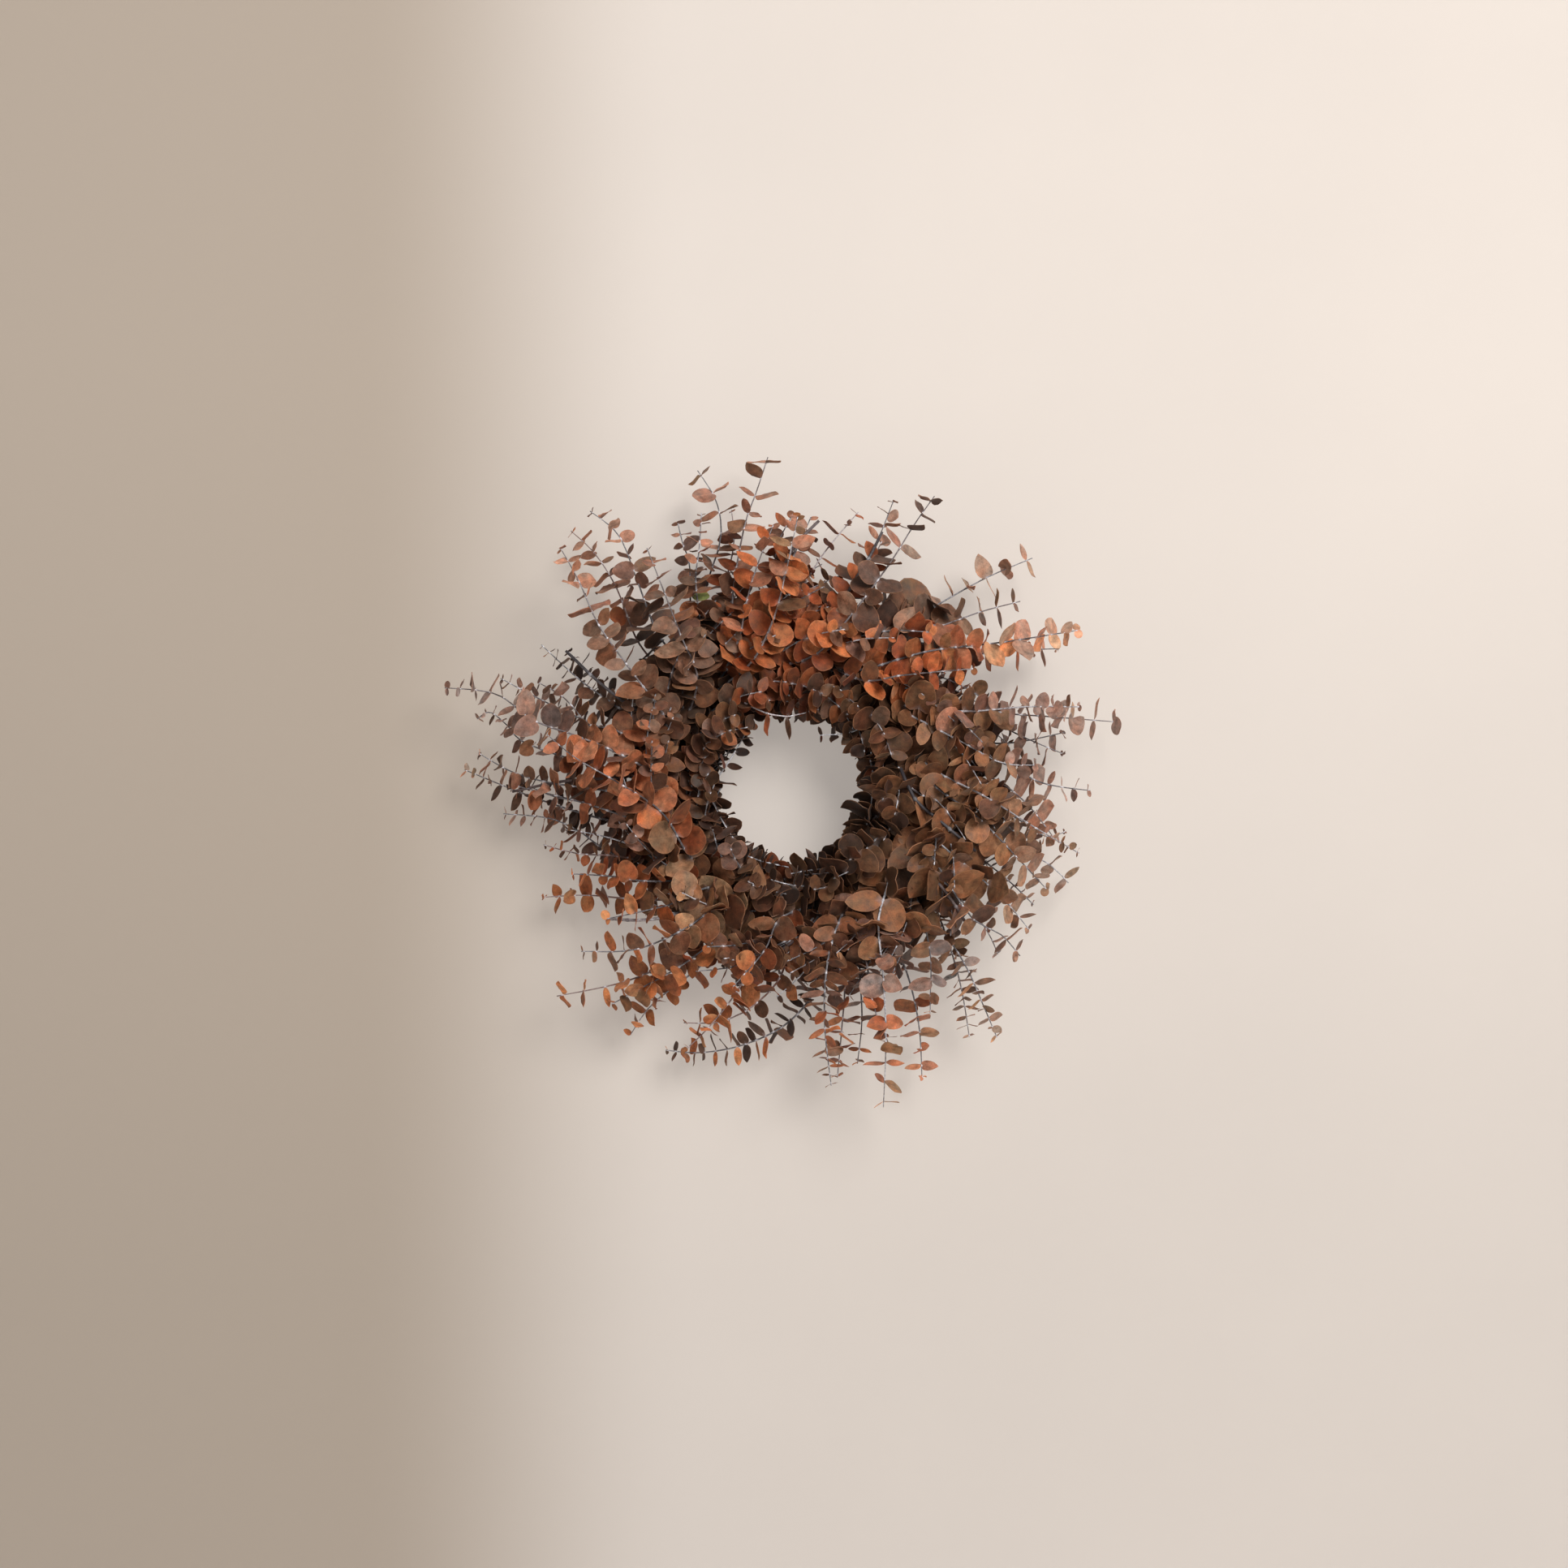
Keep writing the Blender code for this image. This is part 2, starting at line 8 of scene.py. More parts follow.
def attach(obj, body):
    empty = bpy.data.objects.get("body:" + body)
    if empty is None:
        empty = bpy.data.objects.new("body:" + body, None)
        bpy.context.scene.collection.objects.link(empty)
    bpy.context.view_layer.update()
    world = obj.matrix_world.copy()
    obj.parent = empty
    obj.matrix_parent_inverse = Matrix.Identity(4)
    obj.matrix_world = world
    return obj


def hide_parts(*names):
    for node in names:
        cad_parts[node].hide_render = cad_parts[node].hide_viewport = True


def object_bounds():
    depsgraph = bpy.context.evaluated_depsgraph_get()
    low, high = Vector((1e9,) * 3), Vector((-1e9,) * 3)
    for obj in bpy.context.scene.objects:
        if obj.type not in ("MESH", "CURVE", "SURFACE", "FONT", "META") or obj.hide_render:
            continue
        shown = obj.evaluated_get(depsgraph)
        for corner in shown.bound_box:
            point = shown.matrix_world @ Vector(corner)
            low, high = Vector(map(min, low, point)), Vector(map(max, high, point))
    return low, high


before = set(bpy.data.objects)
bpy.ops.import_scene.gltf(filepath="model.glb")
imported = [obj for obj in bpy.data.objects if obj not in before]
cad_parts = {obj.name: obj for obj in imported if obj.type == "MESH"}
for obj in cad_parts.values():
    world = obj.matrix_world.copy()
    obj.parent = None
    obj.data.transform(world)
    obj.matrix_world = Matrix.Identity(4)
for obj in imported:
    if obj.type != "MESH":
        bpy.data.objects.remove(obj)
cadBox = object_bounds()
mm = 0.001
front = Vector((0, -1, 0))
hole = Vector((0, -0.024, -0.145))      # middle of the hole, at the depth of the vine
# no leaf reaches past these corners, which lie just inside the CAD model's box
lowest = cadBox[0] + Vector((1, 1, 1)) * mm
highest = cadBox[1] - Vector((1, 1.8, 1)) * mm


def at(right, up, lift):
    # a place in mm from the middle of the hole, lift being towards the viewer
    return hole + Vector((right, -lift, up)) * mm


def placesOf(route):
    return [at(*place) for place in route]


def rise(value, low, span):
    # 0 up to the low value, and 1 from the span above it on
    return min(max((value - low) / span, 0), 1)


def deselectAll():
    if bpy.context.mode != "OBJECT":
        bpy.ops.object.mode_set(mode="OBJECT")
    bpy.ops.object.select_all(action="DESELECT")


def makeActive(piece):
    deselectAll()
    piece.select_set(True)
    bpy.context.view_layer.objects.active = piece


def everywhere(place):
    return True


def pick(piece, wanted):
    # selects the vertices whose place passes the test
    bpy.ops.object.mode_set(mode="EDIT")
    bpy.ops.mesh.select_mode(type="VERT")
    bpy.ops.mesh.select_all(action="DESELECT")
    bpy.ops.object.mode_set(mode="OBJECT")
    for vert in piece.data.vertices:
        vert.select = wanted(vert.co)
    bpy.ops.object.mode_set(mode="EDIT")


def shift(piece, wanted, way, fade=0):
    # with a fade, what lies around the picked vertices comes along less and less
    pick(piece, wanted)
    bpy.ops.transform.translate(value=way, use_proportional_edit=fade > 0,
                                proportional_edit_falloff="SMOOTH", proportional_size=fade or 1)
    bpy.ops.object.mode_set(mode="OBJECT")


def grow(piece, size):
    pick(piece, everywhere)
    bpy.ops.transform.resize(value=size, center_override=(0, 0, 0))
    bpy.ops.object.mode_set(mode="OBJECT")


def addObject(name, data):
    added = bpy.data.objects.new(name, data)
    bpy.context.scene.collection.objects.link(added)
    return added


def joinAll(pieces, name):
    makeActive(pieces[0])
    for piece in pieces:
        piece.select_set(True)
    bpy.ops.object.join()
    pieces[0].name = name
    pieces[0].data.name = name
    return pieces[0]


def dress(piece, node=None):
    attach(piece, "root")
    if node:
        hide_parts(node)


def smoothWay(points, perSpan):
    # points on a curve that passes through the given ones
    way = []
    last = len(points) - 1
    for i in range(last):
        before, here, there, after = (points[max(i - 1, 0)], points[i], points[i + 1],
                                      points[min(i + 2, last)])
        for step in range(perSpan):
            t = step / perSpan
            way.append(0.5 * (2 * here + (there - before) * t
                              + (2 * before - 5 * here + 4 * there - after) * t * t
                              + (3 * here - before - 3 * there + after) * t * t * t))
    way.append(points[-1].copy())
    return way


def lengthsAlong(way):
    sums = [0.0]
    for here, there in zip(way, way[1:]):
        sums.append(sums[-1] + (there - here).length)
    return sums


def onWay(way, sums, distance):
    # the point and the direction at a distance from the start
    for i in range(len(way) - 1):
        if distance <= sums[i + 1] or i == len(way) - 2:
            share = (distance - sums[i]) / (sums[i + 1] - sums[i])
            return way[i].lerp(way[i + 1], share), (way[i + 1] - way[i]).normalized()


def paint(mesh, colours):
    # the skin's colour, and in its alpha the share of wax
    layer = mesh.attributes.get("tint") or mesh.attributes.new("tint", "FLOAT_COLOR", "POINT")
    layer.data.foreach_set("color", colours)


def tube(name, points, radii, skins, closed=False, sides=6):
    curve = bpy.data.curves.new(name, "CURVE")
    curve.dimensions = "3D"
    curve.bevel_depth = 1.0
    curve.bevel_resolution = (sides - 4) // 2
    curve.use_fill_caps = not closed
    spline = curve.splines.new("POLY")
    spline.points.add(len(points) - 1)
    for point, place, radius in zip(spline.points, points, radii):
        point.co = (*place, 1)
        point.radius = radius
    spline.use_cyclic_u = closed
    makeActive(addObject(name, curve))
    bpy.ops.object.convert(target="MESH")
    made = bpy.context.view_layer.objects.active
    bpy.ops.object.mode_set(mode="EDIT")
    bpy.ops.mesh.select_all(action="SELECT")
    bpy.ops.mesh.remove_doubles(threshold=0.02 * mm)
    bpy.ops.mesh.normals_make_consistent(inside=False)
    bpy.ops.object.mode_set(mode="OBJECT")
    bpy.ops.object.shade_smooth()
    for skin in skins:
        made.data.materials.append(skin)
    return made


def newMaterial(name, constants):
    material = bpy.data.materials.new(name)
    material.use_nodes = True
    shader = material.node_tree.nodes["Principled BSDF"]
    for socket, value in constants.items():
        shader.inputs[socket].default_value = value
    return material, material.node_tree, shader


def addNode(tree, kind, inputs=None, **settings):
    # each input is given a value or another node's output
    node = tree.nodes.new("ShaderNode" + kind)
    for key, value in settings.items():
        setattr(node, key, value)
    for key, value in (inputs or {}).items():
        if isinstance(value, bpy.types.NodeSocket):
            tree.links.new(value, node.inputs[key])
        else:
            node.inputs[key].default_value = value
    return node


def maths(operation, *values):
    # one value at least is another node's output, which tells the tree
    tree = next(value for value in values if isinstance(value, bpy.types.NodeSocket)).id_data
    return addNode(tree, "Math", dict(enumerate(values)), operation=operation).outputs[0]


def mix(blend, share, first, second):
    return addNode(first.id_data, "Mix", {0: share, 6: first, 7: second},
                   data_type="RGBA", blend_type=blend).outputs[2]


def mapped(source, span, result, **settings):
    inputs = {0: source, "From Min": span[0], "From Max": span[1], "To Min": result[0], "To Max": result[1]}
    return addNode(source.id_data, "MapRange", inputs, **settings).outputs[0]


def spots(where, scale, detail, roughness=0.5):
    inputs = {"Vector": where, "Scale": scale, "Detail": detail, "Roughness": roughness}
    return addNode(where.id_data, "TexNoise", inputs).outputs[0]


def ramp(source, stops):
    node = addNode(source.id_data, "ValToRGB", {0: source})
    for element, (place, colour) in zip(node.color_ramp.elements, stops):
        element.position = place
        element.color = colour
    return node.outputs[0]


def bump(shader, height, strength, depth):
    tree = height.id_data
    relief = addNode(tree, "Bump", {"Strength": strength, "Distance": depth, "Height": height})
    tree.links.new(relief.outputs[0], shader.inputs["Normal"])


def grey(shade):
    return (shade, shade, shade, 1)


leafFinish = {
    "shader": {"Specular IOR Level": 0.34, "Sheen Weight": 0.03, "Sheen Roughness": 0.5},
    "midrib": 0.016, "veinSlant": 0.8, "veinCount": 46.0, "veinThin": 7.0, "sideVeins": 0.40,
    "wander": (260.0, 2.0), "wanderShare": 0.12,
    "veinShare": 0.36, "veinLight": (1.5, 1.4, 1.3, 1),
    "rimWide": 0.030, "rimShare": 0.20, "rimColour": (0.55, 0.26, 0.13, 1),
    "mottle": (150.0, 5.0, 0.62), "blotches": ((0.32, grey(0.52)), (0.68, grey(1.36))),
    "grain": (900.0, 3.0, 0.6), "specks": ((0.3, grey(0.86)), (0.7, grey(1.12))),
    "drift": (70.0, 3.0), "hues": ((0.34, (1.16, 0.94, 0.82, 1)), (0.66, (0.92, 1.02, 1.04, 1))),
    "dust": (0.40, 0.36, 0.37, 1), "dustReach": 0.2, "dustShare": 0.5,
    "rough": ((0.3, 0.7), (0.48, 0.68)), "bump": (0.40, 0.4 * mm), "veinHeight": 0.7, "grainHeight": 0.5,
}


def leafMaterial():
    finish = leafFinish
    material, tree, shader = newMaterial("leafSkin", finish["shader"])
    tint = addNode(tree, "Attribute", attribute_name="tint")
    where = addNode(tree, "TexCoord").outputs["Object"]
    leafMap = addNode(tree, "UVMap", uv_map="leafMap").outputs[0]
    along, across = addNode(tree, "SeparateXYZ", {0: leafMap}).outputs[:2]
    off = maths("ABSOLUTE", maths("SUBTRACT", across, 0.5))

    # midrib and side veins, which leave it forwards
    midrib = maths("COMPARE", off, 0.0, finish["midrib"])
    slant = maths("SUBTRACT", along, maths("MULTIPLY", off, finish["veinSlant"]))
    wander = maths("MULTIPLY", spots(where, *finish["wander"]), finish["wanderShare"])
    bent = maths("ADD", slant, wander)
    wave = maths("SINE", maths("MULTIPLY", bent, finish["veinCount"]))
    side = maths("POWER", maths("MAXIMUM", wave, 0.0), finish["veinThin"])
    veins = maths("MAXIMUM", midrib, maths("MULTIPLY", side, finish["sideVeins"]))

    # the thin rim
    ends = maths("MINIMUM", along, maths("SUBTRACT", 1.0, along))
    edge = maths("MINIMUM", ends, maths("SUBTRACT", 0.5, off))
    rim = maths("LESS_THAN", edge, finish["rimWide"])

    # blotches of the dried skin, which is redder in some places and greyer in others
    mottle = spots(where, *finish["mottle"])
    grain = spots(where, *finish["grain"])
    shade = maths("MULTIPLY", ramp(mottle, finish["blotches"]), ramp(grain, finish["specks"]))
    skin = mix("MULTIPLY", 1.0, tint.outputs["Color"], shade)
    hue = ramp(spots(where, *finish["drift"]), finish["hues"])
    skin = mix("MULTIPLY", 1.0, skin, hue)

    # the foot is dusty with wax
    fromFoot = maths("ADD", along, maths("MULTIPLY", off, 0.5))
    dusty = mapped(fromFoot, (0.0, finish["dustReach"]), (finish["dustShare"], 0.0))
    skin = mix("MIX", maths("MULTIPLY", dusty, tint.outputs["Alpha"]), skin, finish["dust"])

    veinShare = maths("MULTIPLY", veins, finish["veinShare"])
    skin = mix("MULTIPLY", veinShare, skin, finish["veinLight"])
    skin = mix("MIX", maths("MULTIPLY", rim, finish["rimShare"]), skin, finish["rimColour"])
    tree.links.new(skin, shader.inputs["Base Color"])
    tree.links.new(mapped(mottle, *finish["rough"]), shader.inputs["Roughness"])
    raised = maths("ADD", maths("MULTIPLY", veins, finish["veinHeight"]),
                   maths("MULTIPLY", grain, finish["grainHeight"]))
    bump(shader, raised, *finish["bump"])
    return material


# one noise gives a bark or a metal its colour, its gloss and its relief
stemFinish = {"shader": {"Specular IOR Level": 0.35}, "noise": (420.0, 4.0, 0.7),
              "wax": (0.80, 0.80, 0.87, 1), "patches": (3.2, -0.80),
              "rough": (0.42, 0.72), "bump": (0.5, 0.3 * mm)}
vineFinish = {"shader": {"Specular IOR Level": 0.25}, "noise": (230.0, 6.0, 0.7),
              "colours": ((0.32, (0.055, 0.032, 0.020, 1)), (0.68, (0.24, 0.155, 0.10, 1))),
              "rough": (0.7, 0.95), "bump": (0.8, 0.8 * mm)}
wireFinish = {"shader": {"Metallic": 0.9}, "noise": (500.0, 4.0),
              "colours": ((0.4, (0.11, 0.095, 0.08, 1)), (0.7, (0.19, 0.13, 0.085, 1))),
              "rough": (0.35, 0.6)}


def plainMaterial(name, finish):
    material, tree, shader = newMaterial(name, finish["shader"])
    pattern = spots(addNode(tree, "TexCoord").outputs["Object"], *finish["noise"])
    if "wax" in finish:
        tint = addNode(tree, "Attribute", attribute_name="tint")
        bloom = maths("MULTIPLY", tint.outputs["Alpha"],
                      maths("MULTIPLY_ADD", pattern, *finish["patches"]))
        bloom.node.use_clamp = True
        colour = mix("MIX", bloom, tint.outputs["Color"], finish["wax"])
    else:
        colour = ramp(pattern, finish["colours"])
    tree.links.new(colour, shader.inputs["Base Color"])
    tree.links.new(mapped(pattern, (0, 1), finish["rough"]), shader.inputs["Roughness"])
    if "bump" in finish:
        bump(shader, pattern, *finish["bump"])
    return material


leafSkin = leafMaterial()
stemBark = plainMaterial("stemBark", stemFinish)
vineBark = plainMaterial("vineBark", vineFinish)
dullWire = plainMaterial("dullWire", wireFinish)
print("materials made")


# width, taper, notch at the foot, point at the tip, cup, bend in degrees and curl of one edge;
# each kind of leaf is modelled once at unit length, foot at the origin and tip along +X
leafKinds = {
    "disc": (1.00, 0.10, 0.03, 0.02, 0.045, 10, 0.00),
    "heart": (1.00, 0.42, 0.05, 0.06, 0.065, 14, 0.00),
    "curled": (0.94, 0.26, 0.03, 0.03, 0.075, 20, 0.10),
    "folded": (0.84, 0.32, 0.02, 0.05, 0.130, 16, 0.00),
    "oval": (0.72, 0.20, -0.04, 0.06, 0.050, 10, 0.04),
    "lance": (0.42, 0.25, -0.08, 0.09, 0.035, 8, 0.00),
}
leafThickness = 0.014
leafSunk = 0.01             # how far a leaf's foot sits in the stem


def modelLeaf(name, width, taper, notch, point, cup, bend, curl):
    deselectAll()
    bpy.ops.mesh.primitive_grid_add(x_subdivisions=5, y_subdivisions=4, size=1)
    leaf = bpy.context.view_layer.objects.active
    leaf.name = name
    # the square's edge is drawn in to a circle, and the middle kept
    pick(leaf, lambda c: max(abs(c.x), abs(c.y)) > 0.45)
    bpy.ops.transform.tosphere(value=1)
    bpy.ops.object.mode_set(mode="OBJECT")
    reach = max(vert.co.x for vert in leaf.data.vertices)
    grow(leaf, (0.5 / reach, 0.5 / reach, 1))
    shift(leaf, everywhere, (0.5, 0, 0))
    # the midrib goes down, the sides come up, one edge curls in, and foot and tip get their form
    shift(leaf, lambda c: abs(c.y) < 0.1, (0, 0, -cup))
    shift(leaf, lambda c: abs(c.y) > 0.32, (0, 0, cup * 0.7))
    shift(leaf, lambda c: c.y < -0.3 and c.x > 0.4, (0, 0.4 * curl, curl))
    shift(leaf, lambda c: abs(c.y) < 0.1 and c.x < 0.05, (notch, 0, 0), fade=0.15)
    shift(leaf, lambda c: abs(c.y) < 0.1 and c.x > 0.95, (point, 0, 0), fade=0.32)
    grow(leaf, (1, width, 1))
    shift(leaf, everywhere, (-notch, 0, cup))
    for method, axis, setting, amount in (("TAPER", "X", "factor", -taper),
                                          ("BEND", "Y", "angle", math.radians(bend))):
        form = leaf.modifiers.new(method, "SIMPLE_DEFORM")
        form.deform_method = method
        form.deform_axis = axis
        setattr(form, setting, amount)
        bpy.ops.object.modifier_apply(modifier=form.name)
    skin = leaf.modifiers.new("skin", "SOLIDIFY")
    skin.thickness = leafThickness
    skin.offset = 0
    bpy.ops.object.modifier_apply(modifier=skin.name)
    bpy.ops.object.shade_smooth_by_angle(angle=math.radians(50))
    leaf.data.uv_layers[0].name = "leafMap"
    leaf.data.materials.append(stemBark)
    leaf.data.materials.append(leafSkin)
    for face in leaf.data.polygons:
        face.material_index = 1
    foot = min(leaf.data.vertices, key=lambda v: v.co.x).co.copy()
    leaf.data.transform(Matrix.Translation((-foot.x - leafSunk, 0, -foot.z)))
    mesh = leaf.data.copy()
    mesh.name = name
    bpy.data.objects.remove(leaf)
    return mesh


leafMeshes = {name: modelLeaf(name, *shape) for name, shape in leafKinds.items()}
print("leaf kinds modelled:", {name: len(mesh.polygons) for name, mesh in leafMeshes.items()})


tones = {
    "umber": [(0.085, 0.040, 0.026), (0.115, 0.052, 0.031), (0.075, 0.036, 0.025)],
    "brown": [(0.190, 0.082, 0.045), (0.145, 0.063, 0.036), (0.235, 0.105, 0.056)],
    "khaki": [(0.205, 0.098, 0.048), (0.155, 0.073, 0.036), (0.265, 0.132, 0.068)],
    "rust": [(0.375, 0.106, 0.038), (0.290, 0.078, 0.029), (0.500, 0.170, 0.064)],
    "mauve": [(0.225, 0.120, 0.092), (0.170, 0.088, 0.068), (0.340, 0.190, 0.148)],
    "taupe": [(0.200, 0.108, 0.072), (0.150, 0.082, 0.055), (0.270, 0.155, 0.108)],
    "copper": [(0.370, 0.128, 0.061), (0.450, 0.176, 0.090), (0.300, 0.102, 0.049)],
    "rose": [(0.340, 0.145, 0.088), (0.430, 0.190, 0.120), (0.270, 0.110, 0.070)],
    "tan": [(0.360, 0.205, 0.120), (0.290, 0.165, 0.095), (0.430, 0.255, 0.150)],
    "amber": [(0.330, 0.135, 0.058), (0.290, 0.112, 0.048), (0.370, 0.165, 0.080)],
    "ember": [(0.480, 0.165, 0.062), (0.380, 0.118, 0.044), (0.560, 0.215, 0.090)],
    # a pale silver tone, which paints the sheen of leaves that face the light
    "silverSheen": [(0.260, 0.195, 0.180), (0.190, 0.138, 0.128), (0.350, 0.280, 0.262)],
}

# where one colour rules: right, up, half width, half height in mm, tone, strength
colourPlaces = [
    (114, 160, 38, 25, "taupe", 0.92), (190, 124, 75, 20, "amber", 0.35), (-60, -112, 56, 20, "tan", 0.75),
    (-105, -55, 24, 24, "tan", 0.6), (40, -85, 30, 22, "khaki", 0.5), (-5, 130, 55, 80, "rust", 0.90),
    (150, 118, 105, 28, "rust", 0.97), (-157, 12, 60, 40, "copper", 0.80),
    (-175, -98, 60, 26, "ember", 0.95), (-130, -195, 100, 50, "ember", 0.90),
    (84, -225, 48, 40, "rust", 0.70), (132, -20, 70, 85, "khaki", 0.75), (100, -80, 40, 40, "khaki", 0.80),
    (-30, -130, 90, 40, "brown", 0.7), (-105, 105, 60, 60, "taupe", 0.75), (230, 30, 50, 50, "mauve", 0.8),
    # painted sheen: the pale silver tone where the leaves face the light
    (86, -164, 32, 38, "silverSheen", 0.50), (130, -152, 34, 24, "silverSheen", 0.30),
    (80, -165, 50, 36, "mauve", 0.55), (-165, 195, 60, 60, "rose", 0.75), (140, 165, 50, 30, "khaki", 0.7),
    (-240, 70, 60, 40, "mauve", 0.5), (-40, 235, 70, 60, "rose", 0.75), (60, 215, 50, 40, "rose", 0.5),
    (210, 195, 50, 30, "rose", 0.5), (225, 138, 50, 24, "amber", 0.85), (190, 60, 60, 40, "mauve", 0.4),
    (-270, 5, 50, 40, "rose", 0.5), (60, -240, 40, 50, "rust", 0.4), (250, 0, 50, 40, "rose", 0.4),
]
# how sharply a place ends, and elsewhere the share of leaves that keep their spray's tone
mingling = {"sharp": 0.7, "own": 0.72, "others": ["umber", "brown", "brown", "khaki", "taupe"]}


def leafTone(place, tone, rng):
    right = (place.x - hole.x) / mm
    up = (place.z - hole.z) / mm
    for x, z, wide, high, ruling, strength in colourPlaces:
        away = ((right - x) / wide) ** 2 + ((up - z) / high) ** 2
        if rng.random() < strength * math.exp(-away * away * mingling["sharp"]):
            return ruling
    if rng.random() < mingling["own"]:
        return tone
    return rng.choice(mingling["others"])


# the one leaf that is still green
greenLeaf = {"right": -77, "up": 175, "near": 9, "lift": 26, "turned": 0.6, "left": 1,
             "colour": (0.330, 0.400, 0.130)}

# painted light and shade on the skins, which are darker near the hole and lighter outwards and to the right,
# as (mm from the middle, light) from the rim of the hole to the tips; far, away and open give where a change
# begins and over how many mm it goes on
paintedLightAndTint = {
    "steps": [(60, 0.34), (125, 0.88), (190, 1.05), (280, 1.40)], "most": 1.60, "spread": (0.72, 1.28),
    "far": (180, 100), "pink": 0.26, "bluer": 1.6, "toTheRight": 0.35,
    "open": (20, 38), "deepLight": 0.50,
    "washed": (0.60, 0.41, 0.35), "wash": 0.85,
    "away": (110, 90), "warm": 0.06, "reds": (0.94, 1.08),
    "darkRim": 82, "darkRimWide": 34, "darkRimShare": 0.45,
}


def isGreen(place, facing):
    right, back, up = (place - hole) / mm
    if greenLeaf["left"] == 0 or -back < greenLeaf["lift"] or abs(facing.y) < greenLeaf["turned"]:
        return False
    if math.hypot(right - greenLeaf["right"], up - greenLeaf["up"]) > greenLeaf["near"]:
        return False
    greenLeaf["left"] -= 1
    return True


def leafColour(place, tone, rng):
    base = rng.choice(tones[leafTone(place, tone, rng)])
    out = math.hypot(place.x - hole.x, place.z - hole.z) / mm
    right = max(place.x - hole.x, 0)
    far = rise(out, *paintedLightAndTint["far"])
    farRight = far * right / out / mm
    pink = paintedLightAndTint["pink"] * far
    # painted light: the skins are darker near the hole and lighter outwards and towards the far right
    light = paintedLightAndTint["steps"][0][1]
    for (near, dim), (away, bright) in zip(paintedLightAndTint["steps"], paintedLightAndTint["steps"][1:]):
        light += (bright - dim) * rise(out, near, away - near)
    light += paintedLightAndTint["toTheRight"] * farRight
    # painted shade: the skins hidden deep between others are darker
    level = max(rise((hole.y - place.y) / mm, *paintedLightAndTint["open"]), far)
    light *= paintedLightAndTint["deepLight"] + (1 - paintedLightAndTint["deepLight"]) * level
    # and so is the right of the hole's rim, which turns away from the light
    nearRim = max(0, 1 - abs(out - paintedLightAndTint["darkRim"]) / paintedLightAndTint["darkRimWide"])
    light *= 1 - paintedLightAndTint["darkRimShare"] * nearRim * right / out / mm
    light = min(light * rng.uniform(*paintedLightAndTint["spread"]), paintedLightAndTint["most"])
    # redder near the hole, and pinker at the tips, a painted glow of light shining through them
    red = rng.uniform(*paintedLightAndTint["reds"])
    warm = paintedLightAndTint["warm"] * (1 - rise(out, *paintedLightAndTint["away"]))
    skin = Vector((base[0] * red,
                   base[1] * (1 + pink - warm),
                   base[2] / red * (1 + paintedLightAndTint["bluer"] * pink - 2 * warm))) * light
    # the light washes out the far right
    skin = skin.lerp(Vector(paintedLightAndTint["washed"]), rng.uniform(0.0, paintedLightAndTint["wash"]) * farRight)
    return (*skin, rng.random())


vine = {"ring": 111, "strand": 4.7, "twistAway": 5.2, "twists": 5, "sections": 150, "outside": 10,
        "lumps": (90, 0.10), "dents": (35, 0.12)}


def roundTheVine(clock, row, away):
    # row 0 is outwards and 90 to the front; degrees and mm
    turn = math.radians(clock)
    tilt = math.radians(row)
    reach = vine["ring"] + away * math.cos(tilt)
    return at(reach * math.sin(turn), reach * math.cos(turn), away * math.sin(tilt))


def vineStrands():
    # with five thirds of a turn each strand runs on into the next, so that they are one vine
    points = []
    for strand in (0, 2, 1):
        for i in range(vine["sections"]):
            clock = 360 * i / vine["sections"]
            points.append(roundTheVine(clock, strand * 120 + clock * vine["twists"] / 3, vine["twistAway"]))
    lumpScale, lumpHigh = vine["lumps"]
    dentScale, dentDeep = vine["dents"]
    radii = []
    for point in points:
        knot = noise.noise(point * lumpScale) * lumpHigh - abs(noise.noise(point * dentScale)) * dentDeep
        radii.append(vine["strand"] * (1 + knot) * mm)
    made = tube("vineStrands", points, radii, [vineBark], closed=True, sides=8)
    dress(made, "vine_ring")


vineStrands()
print("vine made")


wire = {"bunches": 14, "firstBunch": 5.0, "start": 1.5, "sweep": 5.0, "steps": 20, "radius": 0.5,
        "overStems": 14.3, "close": 10.8, "stemsFrom": -20, "stemsTo": 190, "blend": 25}
eye = {"width": 14, "radius": 0.8, "side": 1.12, "neckBack": -3.6, "neckDrop": -18.2, "round": 11.1}


def bunchStart(bunch):
    return wire["firstBunch"] + bunch * 360 / wire["bunches"]


def bunchAt(clock):
    return int((clock - wire["firstBunch"]) % 360 // (360 / wire["bunches"]))


def bindingWire():
    # it stands off the vine where it passes over the stems
    points = []
    blend = wire["blend"]
    firstRise, lastRise = wire["stemsFrom"] - blend / 2, wire["stemsTo"] - blend / 2
    for bunch in range(wire["bunches"]):
        start = bunchStart(bunch) + wire["start"]
        for step in range(wire["steps"] + 1):
            share = step / wire["steps"]
            row = -90 + 360 * share
            ease = rise(row, firstRise, blend) * (1 - rise(row, lastRise, blend))
            away = wire["close"] + (wire["overStems"] - wire["close"]) * ease
            points.append(roundTheVine(start + wire["sweep"] * share, row, away))
    made = tube("windingWire", points, [wire["radius"] * mm] * len(points), [dullWire])
    dress(made, "binding_wire")


